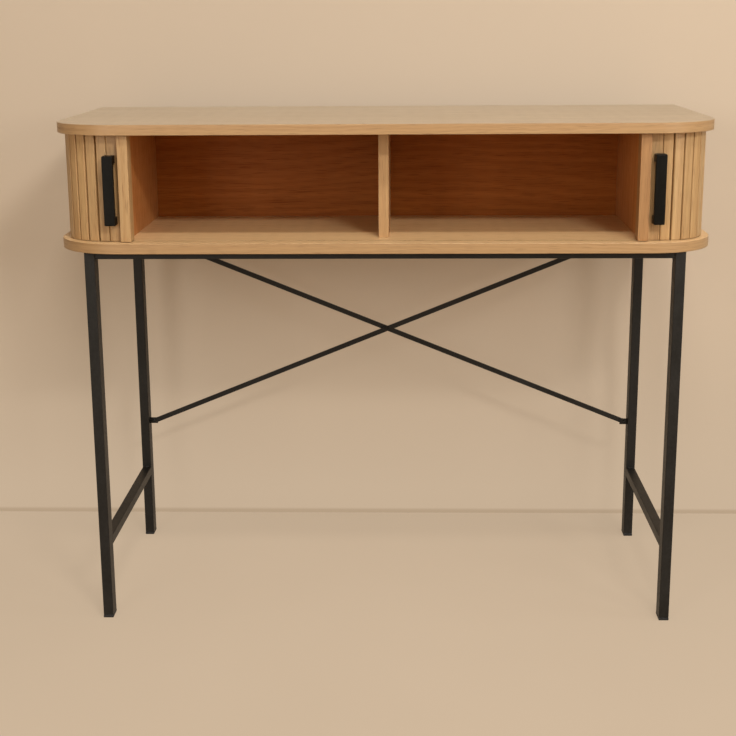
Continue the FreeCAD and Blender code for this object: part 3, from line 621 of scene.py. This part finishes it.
# Painted sheen: the top's tones are paler and greyer than plain oak, besides the shader's bloom.
OAK_TOP_PAINTED_SHEEN = oak_finish("oak_top_painted_sheen_along", ALONG_DESK, (196, 166, 127), (168, 134, 95), bloom=0.30, dulled=0.14)
# Painted light: the deck is paler than plain oak, to light the shelf floor that lies under the top.
OAK_DECK_PAINTED_LIGHT = oak_finish("oak_deck_painted_light_along", ALONG_DESK, (238, 198, 145), (214, 170, 115), gloss=0.3)
OAK_BAND = oak_finish("oak_band_round_edge", ROUND_EDGE, (190, 152, 106), (161, 121, 77))
OAK_UPRIGHT = oak_finish("oak_upright", UPRIGHT, *PLAIN_OAK)
OAK_SLAT = oak_finish("oak_slat_upright", UPRIGHT, (198, 162, 112), (166, 124, 76), figure=1.6)
OAK_BROWN = oak_finish("oak_brown_upright", UPRIGHT, (182, 137, 89), (152, 106, 61), figure=1.6)
# Painted shade: the panel's face into the compartments is a darker, redder brown.
OAK_SHADED_PANEL = oak_finish("oak_panel_painted_shade_along", ALONG_DESK, (186, 109, 45), (141, 75, 24), figure=1.6, gloss=0.12)
OAK_BACK = oak_finish("oak_back_along", ALONG_DESK, *PLAIN_OAK, gloss=0.3)
# Painted shade: the partitions' faces into the compartments are a browner oak.
OAK_SHADED_INNER = oak_finish("oak_inner_painted_shade_upright", UPRIGHT, (208, 142, 82), (177, 110, 58), gloss=0.15)
print("oak finishes:", [m.name for m in bpy.data.materials if m.name.startswith("oak")])

# %% [markdown]
# ## Coated steel and moulded feet
# Powder coat is melted paint: black, satin, with a skin like a very fine orange peel, and a little
# greyer where it thins over an edge. A single fine-grained group serves the steel, the handles and the
# moulded feet, each with its own grain size.

# %% Fine skin group and dark finishes
SPECK_GRAIN = 0.23
SPECK_FROM, SPECK_FULL = 0.35, 0.68
COAT_EDGE = {"Reach": 0.8 * MM, "Patches": 35.0}
COAT_HANDLED = 14.0
WORN_AT_EDGE, WORN_IN_SPECKS, WORN_BY_HANDS = 0.55, 0.12, 0.12
COAT_RELIEF, COAT_RELIEF_DEPTH = 0.22, 0.12 * MM


def fine_skin_group():
    tree, given, result = new_group(
        "fine_skin",
        {"Place": ("Vector", (0, 0, 0)), "Grain": ("Float", 900.0)},
        {"Height": "Float", "Speck": "Float"},
    )
    skin = noise(tree, given["Place"], given["Grain"], detail=2.0)
    coarse = calc(tree, "MULTIPLY", given["Grain"], SPECK_GRAIN)
    specks = noise(tree, given["Place"], coarse, detail=1.0)
    fill(tree, result, {"Height": skin, "Speck": ramp(tree, specks, SPECK_FROM, SPECK_FULL)})
    return tree


FINE_SKIN = fine_skin_group()


def dark_finish(name, deep, worn, grain, rough, gloss):
    """A satin dark skin that is greyer and duller in places and along its edges."""
    material, tree, shader = new_material(name)
    place = own_place(tree)
    fine = use_group(tree, FINE_SKIN, {"Place": place, "Grain": grain})
    edge_mask = use_group(tree, EDGE_WEAR_AND_HIGHLIGHT, {"Place": place, **COAT_EDGE})["Mask"]
    handled = use_group(tree, HANDLING, {"Place": place, "Patches": COAT_HANDLED})["Mask"]
    wear = plus_share(tree, calc(tree, "MULTIPLY", edge_mask, WORN_AT_EDGE), fine["Speck"], WORN_IN_SPECKS)
    wear = plus_share(tree, wear, handled, WORN_BY_HANDS, clamp=True)
    tint = mixed(tree, wear, linear(*deep), linear(*worn))
    roughness = ramp(tree, calc(tree, "ADD", handled, fine["Speck"]), 0, 2, *rough)
    normal = relief(tree, fine["Height"], COAT_RELIEF, COAT_RELIEF_DEPTH)
    fill(tree, shader, {"Base Color": tint, "Roughness": roughness, "Normal": normal})
    fill(tree, shader, {"Specular IOR Level": gloss})
    return material


BLACK_STEEL = dark_finish(
    "black_powder_coat", (18, 16, 13), (56, 53, 48), grain=1100.0, rough=(0.42, 0.56), gloss=0.32
)
BLACK_HANDLE = dark_finish(
    "black_handle_coat", (7, 6, 3), (36, 33, 27), grain=1500.0, rough=(0.36, 0.48), gloss=0.14
)
BLACK_PLASTIC = dark_finish(
    "black_moulded_foot", (22, 22, 23), (56, 56, 57), grain=600.0, rough=(0.52, 0.66), gloss=0.4
)
print("dark finishes:", [m.name for m in bpy.data.materials if m.name.startswith("black")])

# %% [markdown]
# ## Plated fixings, canvas and dowels
# Zinc plate is metal with an uneven shine, so the fine skin serves it too. The canvas behind the slats
# is a plain weave: a wave along and a wave up, multiplied, give threads that go over and under each
# other. The dowels are beech, which is the oak's own function with paler tones.

# %% Zinc, canvas and beech
ZINC_GRAIN = 2200.0
ZINC_HANDLED = 120.0
ZINC_BRIGHT, ZINC_DULL = linear(196, 196, 190), linear(166, 164, 154)
ZINC_ROUGH = (0.24, 0.46)
ZINC_RELIEF, ZINC_RELIEF_DEPTH = 0.15, 0.05 * MM
THREAD_PITCH = 1.1 * MM
THREAD_DARK, THREAD_LIGHT = linear(150, 136, 112), linear(188, 174, 148)
CANVAS_HANDLED = 30.0
CANVAS_AGED, CANVAS_AGED_SHARE = linear(142, 126, 100), 0.35
CANVAS_ROUGH = 0.9
WEAVE_RELIEF, WEAVE_RELIEF_DEPTH = 0.6, 0.25 * MM


def zinc_finish():
    material, tree, shader = new_material("zinc_plate")
    place = own_place(tree)
    fine = use_group(tree, FINE_SKIN, {"Place": place, "Grain": ZINC_GRAIN})
    handled = use_group(tree, HANDLING, {"Place": place, "Patches": ZINC_HANDLED})["Mask"]
    tint = mixed(tree, handled, ZINC_BRIGHT, ZINC_DULL)
    rough = ramp(tree, calc(tree, "ADD", fine["Speck"], handled), 0, 2, *ZINC_ROUGH)
    normal = relief(tree, fine["Height"], ZINC_RELIEF, ZINC_RELIEF_DEPTH)
    fill(tree, shader, {"Base Color": tint, "Metallic": 1.0, "Roughness": rough, "Normal": normal})
    return material


def canvas_finish():
    """Plain weave: two sets of threads, each going over and under the other."""
    material, tree, shader = new_material("canvas_backing")
    place = own_place(tree)
    axes = put(tree, "ShaderNodeSeparateXYZ", {0: place}).outputs
    level = calc(tree, "ADD", axes["X"], axes["Y"])
    thread_turns = 2 * math.pi / THREAD_PITCH
    weft = calc(tree, "SINE", calc(tree, "MULTIPLY", level, thread_turns))
    warp = calc(tree, "SINE", calc(tree, "MULTIPLY", axes["Z"], thread_turns))
    weave = ramp(tree, calc(tree, "MULTIPLY", weft, warp), -1, 1)
    handled = use_group(tree, HANDLING, {"Place": place, "Patches": CANVAS_HANDLED})["Mask"]
    cloth = mixed(tree, weave, THREAD_DARK, THREAD_LIGHT)
    aged = mixed(tree, calc(tree, "MULTIPLY", handled, CANVAS_AGED_SHARE), cloth, CANVAS_AGED)
    normal = relief(tree, weave, WEAVE_RELIEF, WEAVE_RELIEF_DEPTH)
    fill(tree, shader, {"Base Color": aged, "Roughness": CANVAS_ROUGH, "Normal": normal})
    return material


ZINC = zinc_finish()
CANVAS = canvas_finish()
BEECH = oak_finish("beech_dowel_upright", UPRIGHT, (222, 186, 146), (200, 158, 116), figure=1.2)
print("finishes:", [m.name for m in bpy.data.materials])

# %% [markdown]
# ## Reading a solid
# A solid comes as triangles, with doubled points along its edges. A tool that rounds edges needs whole
# faces that share their points, so the points are joined and flat triangles are merged. A node may hold
# several separate solids, such as slats or screws, and these are told apart by walking from face to face.

# %% Whole faces and separate solids
JOIN_WITHIN = 0.002 * MM
FLAT_WITHIN = math.radians(0.5)
PLACE_DIGITS = 5


def merged(node):
    """A node's mesh with joined points and whole flat faces."""
    bm = bmesh.new()
    bm.from_mesh(frame["nodes"][node].data)
    bmesh.ops.remove_doubles(bm, verts=bm.verts, dist=JOIN_WITHIN)
    bmesh.ops.dissolve_limit(bm, angle_limit=FLAT_WITHIN, verts=bm.verts, edges=bm.edges)
    return bm


def span(island):
    """The lowest and highest corner of some faces."""
    points = [vert.co for face in island for vert in face.verts]
    low = Vector([min(point[axis] for point in points) for axis in range(3)])
    high = Vector([max(point[axis] for point in points) for axis in range(3)])
    return low, high


def islands(bm):
    """The separate solids of a mesh as lists of faces, in order of place."""
    left = set(bm.faces)
    found = []
    while left:
        start = left.pop()
        island = [start]
        for face in island:
            for edge in face.edges:
                for other in edge.link_faces:
                    if other in left:
                        left.remove(other)
                        island.append(other)
        found.append(island)
    return sorted(found, key=lambda island: tuple(round(c, PLACE_DIGITS) for c in span(island)[0]))


def body_of(node):
    return frame["nodes"][node]["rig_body"]


print("the top board rides on the body", body_of("top_board"))

# %% [markdown]
# ## Softening the edges
# The solids have knife-sharp edges, and no real board does: a sanded edge catches a thin line of light.
# A bevel in the shader would fake that line but leave the outline sharp. So each wooden piece is copied
# from its solid, and the edges that a sander would reach are rounded in the mesh. The copy then stands
# for the solid and moves with it. Slivers that the rounding leaves are taken out, so that every mesh
# stays sound.

# %% Softening helper
ARRIS_FROM = math.radians(38)
SMOOTH_UNDER = math.radians(40)
LONG_FROM = 6 * MM
ROUND_SEGMENTS = 2
ROUND_PROFILE = 0.5
STRIP_NUMBERS = 40


def mark_strips(bm, seed):
    """Give each separate strip of wood its own number."""
    draw = random.Random(seed)
    layer = bm.faces.layers.float.new(SEED_NAME)
    for island in islands(bm):
        number = draw.uniform(0, STRIP_NUMBERS)
        for face in island:
            face[layer] = number


def add_piece(name, bm, material, body):
    """Turn a bmesh into a smooth-shaded piece that moves with a body."""
    bmesh.ops.recalc_face_normals(bm, faces=bm.faces)
    mesh = bpy.data.meshes.new(name)
    bm.to_mesh(mesh)
    bm.free()
    mesh.polygons.foreach_set("use_smooth", [True] * len(mesh.polygons))
    mesh.set_sharp_from_angle(angle=SMOOTH_UNDER)
    mesh.materials.append(material)
    piece = bpy.data.objects.new(name, mesh)
    scene.collection.objects.link(piece)
    even = piece.modifiers.new("even_shading", "WEIGHTED_NORMAL")
    even.keep_sharp = True
    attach(piece, body)
    return piece


def is_arris(edge):
    """True where two faces meet outwards at a sharp angle."""
    return len(edge.link_faces) == 2 and edge.is_convex and edge.calc_face_angle() > ARRIS_FROM


def long_edge(edge):
    return edge.calc_length() > LONG_FROM


def softened(node, radius, material, reached=long_edge, ending="softened"):
    """A copy of a solid with its reachable edges rounded; it stands for the solid."""
    bm = merged(node)
    arrises = [edge for edge in bm.edges if is_arris(edge) and reached(edge)]
    bmesh.ops.bevel(
        bm, geom=arrises, offset=radius, segments=ROUND_SEGMENTS, profile=ROUND_PROFILE,
        affect="EDGES", clamp_overlap=True,
    )
    bmesh.ops.dissolve_degenerate(bm, dist=JOIN_WITHIN, edges=bm.edges)
    mark_strips(bm, node)
    piece = add_piece(f"{node}_{ending}", bm, material, body_of(node))
    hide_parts(node)
    return piece


print("rounded edges are sharper than", round(math.degrees(ARRIS_FROM)), "degrees")

# %% [markdown]
# ## Boards and their banding
# The top and the bottom board are panels with a strip of oak banding glued all round. Only the outer
# edges are sanded; the door grooves and screw holes stay crisp, so the edges to round are the ones on a
# wall that is as high as the board is thick. The banding is a second finish on the faces that stand
# upright, and each point there keeps its distance round the edge from the middle of the front, so the
# grain can follow the corners.

# %% Boards
BOARD_ROUND = 0.9 * MM
WHOLE_WALL = 0.99
UPRIGHT_UNDER = 0.6


def on_board_wall(node):
    """A test for edges of the outer wall, which runs from face to face of the board."""
    low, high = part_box(node)
    thickness = high.z - low.z

    def reached(edge):
        ends = edge.verts[0].co.z, edge.verts[1].co.z
        if abs(ends[0] - ends[1]) > JOIN_WITHIN:
            return False
        heights = [span([face]) for face in edge.link_faces]
        return any(top.z - foot.z > WHOLE_WALL * thickness for foot, top in heights)

    return reached


def run_round_edge(node):
    """How far a point lies round a board's edge from the middle of its front; less than nought at left."""
    low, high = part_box(node)
    on_front = [v.co for v in frame["nodes"][node].data.vertices if v.co.y < low.y + JOIN_WITHIN]
    front_half = max(point.x for point in on_front)
    radius = high.x - front_half
    corner_end = front_half + radius * math.pi / 2

    def run(point):
        reach = abs(point.x)
        past_corner = point.y - low.y - radius
        if reach <= front_half and past_corner <= 0:
            distance = reach
        elif past_corner <= 0:
            distance = front_half + radius * math.atan2(reach - front_half, -past_corner)
        else:
            distance = corner_end + past_corner + high.x - reach
        return math.copysign(distance, point.x)

    return run


def second_finish(piece, finish, chosen):
    """Put a second finish on the chosen faces of a piece, and count them."""
    piece.data.materials.append(finish)
    faces = [face for face in piece.data.polygons if chosen(face)]
    for face in faces:
        face.material_index = 1
    return len(faces)


def band_edges(piece, node, finish):
    """Put the banding's finish on a board's upright faces, with its grain along the edge."""
    run = run_round_edge(node)
    runs = piece.data.attributes.new(RUN_NAME, "FLOAT", "POINT")
    runs.data.foreach_set("value", [run(vertex.co) for vertex in piece.data.vertices])
    return second_finish(piece, finish, lambda face: abs(face.normal.z) < UPRIGHT_UNDER)


for board_name, board_finish in (("top_board", OAK_TOP_PAINTED_SHEEN), ("bottom_board", OAK_DECK_PAINTED_LIGHT)):
    board = softened(board_name, BOARD_ROUND, board_finish, on_board_wall(board_name))
    banded = band_edges(board, board_name, OAK_BAND)
    print(board.name, len(board.data.polygons), "faces,", banded, "of them banded")

# %% [markdown]
# ## Partitions, panel and uprights
# These are rounded all over. The panel and the partitions are painted a darker, redder brown where they
# look into the compartments, as painted shade, and plain oak on the sides and at the back. One piece could
# be split in two for that, but a second finish on chosen faces keeps it whole, as the real board is.

# %% Partitions, panel and uprights
UPRIGHT_ROUND = 0.7 * MM
PANEL_ROUND = 0.3 * MM
FACING_FROM = 0.6
PANEL_REAR_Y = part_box("back_panel")[1].y


def looks_out(way):
    """A test for the faces that look to one side, or lie behind the panel."""
    return lambda face: face.normal.x * way > FACING_FROM or face.center.y > PANEL_REAR_Y


for side, way in SIDES.items():
    # The inner faces take the painted-shade finish; the faces that look out stay plain oak.
    partition = softened(f"{side}_partition", UPRIGHT_ROUND, OAK_SHADED_INNER)
    plain_faces = second_finish(partition, OAK_UPRIGHT, looks_out(way))
    print(partition.name, len(partition.data.polygons), "faces,", plain_faces, "of them plain oak")
panel = softened("back_panel", PANEL_ROUND, OAK_SHADED_PANEL)
plain_faces = second_finish(panel, OAK_BACK, lambda face: face.normal.y > FACING_FROM)
print(panel.name, len(panel.data.polygons), "faces,", plain_faces, "of them plain oak")
for upright in ("centre_divider", "left_rear_post", "right_rear_post"):
    piece = softened(upright, UPRIGHT_ROUND, OAK_UPRIGHT)
    print(piece.name, len(piece.data.polygons), "faces")

# %% [markdown]
# ## Slats and lead stiles
# A tambour slat is a planed strip with its two outer edges broken. The solids have that as a flat
# chamfer; rounding both of its edges gives the half-round look of a moulded strip. Each copy rides on the
# body of its solid, so the corner slats still turn one by one as the door runs round the corner. The
# right stile is cut from a browner strip than the left.

# %% Slats and stiles
SLAT_ROUND = 0.5 * MM
STILE_ROUND = 1.2 * MM
CORNER_SLATS = range(1, 6)
STILE_FINISH = {"left": OAK_SLAT, "right": OAK_BROWN}
for side in SIDES:
    slat_nodes = [f"{side}_front_slats", f"{side}_side_slats"]
    slat_nodes += [f"{side}_corner_slat_{number}" for number in CORNER_SLATS]
    for node in slat_nodes:
        softened(node, SLAT_ROUND, OAK_SLAT, ending="planed")
    stile = softened(f"{side}_lead_stile", STILE_ROUND, STILE_FINISH[side], ending="planed")
    print(side, "door:", len(slat_nodes), "slat pieces and", stile.name)

# %% [markdown]
# ## Handles, feet and brace
# The handles are flat black bars on two posts, and the feet are moulded caps pushed into the legs. Both
# have soft edges that show as a thin grey line. The brace bars are cut from flat strip, so they only
# lose their burr. The softening helper does all of these, with other radii and the dark finishes.

# %% Handles, feet and brace
HANDLE_ROUND = 1.4 * MM
FOOT_ROUND = 1.1 * MM
BURR_ROUND = 0.5 * MM
dark_pieces = []
for side in SIDES:
    dark_pieces.append(softened(f"{side}_handle", HANDLE_ROUND, BLACK_HANDLE, ending="bar"))
dark_pieces.append(softened("foot_caps", FOOT_ROUND, BLACK_PLASTIC, ending="moulded"))
for node in ("rising_brace_bar", "falling_brace_bar", "brace_lugs"):
    dark_pieces.append(softened(node, BURR_ROUND, BLACK_STEEL, ending="deburred"))
print("dark pieces:", [piece.name for piece in dark_pieces])

# %% [markdown]
# ## Rings for turned pieces
# In the solids a screw is a plain stepped rod. A real head is domed or sunk and has a driving recess.
# Such a head could be cut with booleans; turning it as rings round an axis is simpler and cleaner,
# because a ring can be round for the dome and six-sided or cross-shaped for the recess. A skin over the
# rings then closes them into a solid.

# %% Rings and their skin
TURN_STEPS = 32
ARM_HALF_ANGLE = math.radians(13)
WAIST = 0.36


def round_ring(radius):
    return lambda angle: radius


def hexagon_ring(radius):
    """The six-sided outline whose corners lie at the radius."""
    flat = radius * math.cos(math.pi / 6)
    return lambda angle: flat / math.cos((angle % (math.pi / 3)) - math.pi / 6)


def cross_ring(radius):
    """A cross outline: four narrow arms, and a small waist between them."""
    def reach(angle):
        from_arm = abs((angle + math.pi / 4) % (math.pi / 2) - math.pi / 4)
        return radius if from_arm < ARM_HALF_ANGLE else radius * WAIST
    return reach


def skin_over(bm, loops):
    """Close a row of point rings into a solid."""
    for lower, upper in zip(loops, loops[1:]):
        for step in range(len(lower)):
            following = (step + 1) % len(lower)
            bm.faces.new((lower[step], lower[following], upper[following], upper[step]))
    bm.faces.new(reversed(loops[0]))
    bm.faces.new(loops[-1])


def turned(bm, rings, base, axis):
    """A solid of rings about an axis; each ring is a height and an outline."""
    facing = axis.to_track_quat("Z", "Y").to_matrix()
    loops = []
    for height, outline in rings:
        loop = []
        for step in range(TURN_STEPS):
            angle = 2 * math.pi * step / TURN_STEPS
            point = Vector((math.cos(angle), math.sin(angle), 0)) * outline(angle)
            point.z = height
            loop.append(bm.verts.new(base + facing @ point))
        loops.append(loop)
    skin_over(bm, loops)


print("a cross recess narrows to", WAIST, "of its radius between the arms")

# %% [markdown]
# ## Screws and bolts
# Each turned screw goes exactly where its solid is, found from the box of every separate rod in the
# node. A head's form is a short list of rings, written as shares of the head's height and radius, so one
# list serves screws of any size.

# %% Screws and bolts
DOWN = Vector((0, 0, -1))
TO_FRONT = Vector((0, -1, 0))
TO_BACK = Vector((0, 1, 0))
TIP_RADIUS = 0.7
TIP_LENGTH = 0.5
# The rings of a head and of the recess in it, from below: shares of the head's height and radius.
DOMED = ((0, 0.98), (0.25, 1), (0.60, 0.93), (0.88, 0.76), (1, 0.62)), ((1, 0.52), (0.35, 0.48))
SUNK = ((0, 1), (0.9, 1), (0.98, 0.95)), ((0.98, 0.58), (0.3, 0.5))


def screw_rings(form, recess, shank, length, radius, height):
    """A screw's rings, from its tip to the floor of the recess in its head."""
    head_form, recess_form = form
    rings = [(-length, round_ring(shank * TIP_RADIUS)), (-length + shank * TIP_LENGTH, round_ring(shank))]
    rings.append((0, round_ring(shank)))
    rings += [(height * up, round_ring(radius * out)) for up, out in head_form]
    rings += [(height * up, recess(radius * out)) for up, out in recess_form]
    return rings


def fixings(node, axis, form, recess, material, head, shank):
    """Turn a screw for every rod of a node; the axis points out of the head."""
    source = merged(node)
    bm = bmesh.new()
    boxes = [span(island) for island in islands(source)]
    source.free()
    main = max(range(3), key=lambda index: abs(axis[index]))
    for low, high in boxes:
        base = (low + high) / 2
        outer = high[main] if axis[main] > 0 else low[main]
        base[main] = outer - axis[main] * head
        radius = (high - low)[(main + 1) % 3] / 2
        length = (high - low)[main] - head
        turned(bm, screw_rings(form, recess, shank, length, radius, head), base, axis)
    piece = add_piece(f"{node}_turned", bm, material, body_of(node))
    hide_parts(node)
    print(piece.name, len(boxes), "fixings")
    return piece


fixings("frame_screws", DOWN, DOMED, cross_ring, ZINC, head=2.5 * MM, shank=2 * MM)
fixings("carcass_screws", DOWN, SUNK, hexagon_ring, ZINC, head=3 * MM, shank=2.5 * MM)
fixings(
    "brace_bolts", TO_FRONT, DOMED, hexagon_ring, BLACK_STEEL, head=2.4 * MM, shank=2 * MM
)
for side in SIDES:
    node = f"{side}_handle_screws"
    fixings(node, TO_BACK, DOMED, cross_ring, ZINC, head=2 * MM, shank=2 * MM)

# %% [markdown]
# ## Canvas at the corners
# A tambour's slats are glued to canvas, which is what lets the door bend. The solids have the canvas
# behind the straight runs. At the corner it turns with the slats, so here it is made as one narrow strip
# to a slat, a little narrower than the slats' spacing, and each strip moves with its own slat.

# %% Corner canvas
CANVAS_THICK = 0.6 * MM
SLAT_PITCH = 14.4 * MM
CORNER_PITCHES = 6
STRIP_GAP = 0.4 * MM
STRIP_HALF = (SLAT_PITCH - STRIP_GAP) / 2
STRIP_COLUMNS = 9
FRAY = 0.8 * MM
PITCH_ANGLE = math.pi / 2 / CORNER_PITCHES
CANVAS_RADIUS = SLAT_PITCH / PITCH_ANGLE
front_canvas_low, front_canvas_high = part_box("right_front_canvas")
CORNER_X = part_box("right_side_canvas")[1].x - CANVAS_RADIUS
CORNER_Y = front_canvas_low.y + CANVAS_RADIUS


def canvas_strip(side, number):
    """A thin strip behind one corner slat, with a slightly frayed pair of ends."""
    angle = number * PITCH_ANGLE
    outward = Vector((SIDES[side] * math.sin(angle), -math.cos(angle), 0))
    sideways = Vector((math.cos(angle), SIDES[side] * math.sin(angle), 0))
    centre = Vector((SIDES[side] * CORNER_X, CORNER_Y, 0)) + outward * CANVAS_RADIUS
    bm = bmesh.new()
    draw = random.Random(number)
    columns = []
    for column in range(STRIP_COLUMNS):
        share = 2 * column / (STRIP_COLUMNS - 1) - 1
        fray = draw.uniform(0, FRAY)
        corners = []
        for depth in (0, CANVAS_THICK):
            for height in (front_canvas_low.z + fray, front_canvas_high.z - fray):
                point = centre + sideways * (share * STRIP_HALF) - outward * depth
                corners.append(bm.verts.new((point.x, point.y, height)))
        columns.append(corners)
    for near, far in zip(columns, columns[1:]):
        for first, second in ((0, 1), (1, 3), (3, 2), (2, 0)):
            bm.faces.new((near[first], near[second], far[second], far[first]))
    for end in (columns[0], columns[-1]):
        bm.faces.new((end[0], end[1], end[3], end[2]))
    body = f"{side}_corner_slat_{number}"
    return add_piece(f"{side}_corner_canvas_{number}", bm, CANVAS, body)


strips = [canvas_strip(side, number) for side in SIDES for number in CORNER_SLATS]
print(len(strips), "canvas strips, corner centre at", round(CORNER_X / MM, 1), round(CORNER_Y / MM, 1))

# %% [markdown]
# ## Welds
# The tubes of the frame are welded where they meet, and the coat goes over the welds. A weld is a low
# rippled bead in the inside corner of the joint. It could be painted as bump, but then the joint would
# stay a knife cut, so each bead is a short tube of rings whose size swells and shrinks along it.

# %% Weld beads
BEAD_RADIUS = 1.2 * MM
BEAD_STEP = 0.6 * MM
BEAD_CORNERS = 10
BEAD_INSET = 2 * MM
LEAST_STEPS = 4
RIPPLE = 2.4 * MM
RIPPLE_DEPTH = 0.13
# A bead starts blunt, and is full after a quarter of its length at the most.
BLUNT_END = 0.3
SWELL = 4


def bead(bm, start, end):
    """A rippled bead between two points."""
    run = end - start
    count = max(LEAST_STEPS, int(run.length / BEAD_STEP))
    facing = run.to_track_quat("Z", "Y").to_matrix()
    loops = []
    for step in range(count + 1):
        along = run.length * step / count
        taper = min(1, SWELL * step / count + BLUNT_END, SWELL * (count - step) / count + BLUNT_END)
        radius = BEAD_RADIUS * taper * (1 + RIPPLE_DEPTH * math.sin(2 * math.pi * along / RIPPLE))
        ring = []
        for corner in range(BEAD_CORNERS):
            angle = 2 * math.pi * corner / BEAD_CORNERS
            offset = facing @ Vector((math.cos(angle) * radius, math.sin(angle) * radius, along))
            ring.append(bm.verts.new(start + offset))
        loops.append(ring)
    skin_over(bm, loops)


def weld_lines():
    """The inside corners where rails and stretchers meet the legs."""
    inset = BEAD_INSET
    for rail in ("front_rail", "rear_rail"):
        low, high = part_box(rail)
        for x in (low.x, high.x):
            yield Vector((x, low.y + inset, low.z)), Vector((x, high.y - inset, low.z))
            for y in (low.y, high.y):
                yield Vector((x, y, low.z + inset)), Vector((x, y, high.z - inset))
    for side in SIDES:
        for tube in (f"{side}_top_rail", f"{side}_stretcher"):
            low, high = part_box(tube)
            heights = (low.z,) if tube.endswith("rail") else (low.z, high.z)
            for y in (low.y, high.y):
                for z in heights:
                    yield Vector((low.x + inset, y, z)), Vector((high.x - inset, y, z))


weld_mesh = bmesh.new()
bead_count = 0
for bead_start, bead_end in weld_lines():
    bead(weld_mesh, bead_start, bead_end)
    bead_count += 1
add_piece("frame_welds", weld_mesh, BLACK_STEEL, "desk")
print(bead_count, "weld beads")

# %% [markdown]
# ## Solids that stay
# The tubes, the nuts, the cams, the dowels and the straight canvas already have the right shape. They
# only need a finish, so each one's material is changed in its own slot.

# %% Finishes on the solids that stay
legs = [f"{end}_{side}_leg" for end in ("front", "rear") for side in SIDES]
rails = ["front_rail", "rear_rail"]
rails += [f"{side}_{tube}" for side in SIDES for tube in ("top_rail", "stretcher")]
STAYING = {
    BLACK_STEEL: legs + rails + ["brace_nuts"],
    ZINC: ["cam_locks", "cam_bolts"],
    BEECH: ["carcass_dowels"],
    CANVAS: [f"{side}_{run}_canvas" for side in SIDES for run in ("front", "side")],
}
for material, names in STAYING.items():
    for name in names:
        for holder in frame["nodes"][name].material_slots:
            holder.material = material
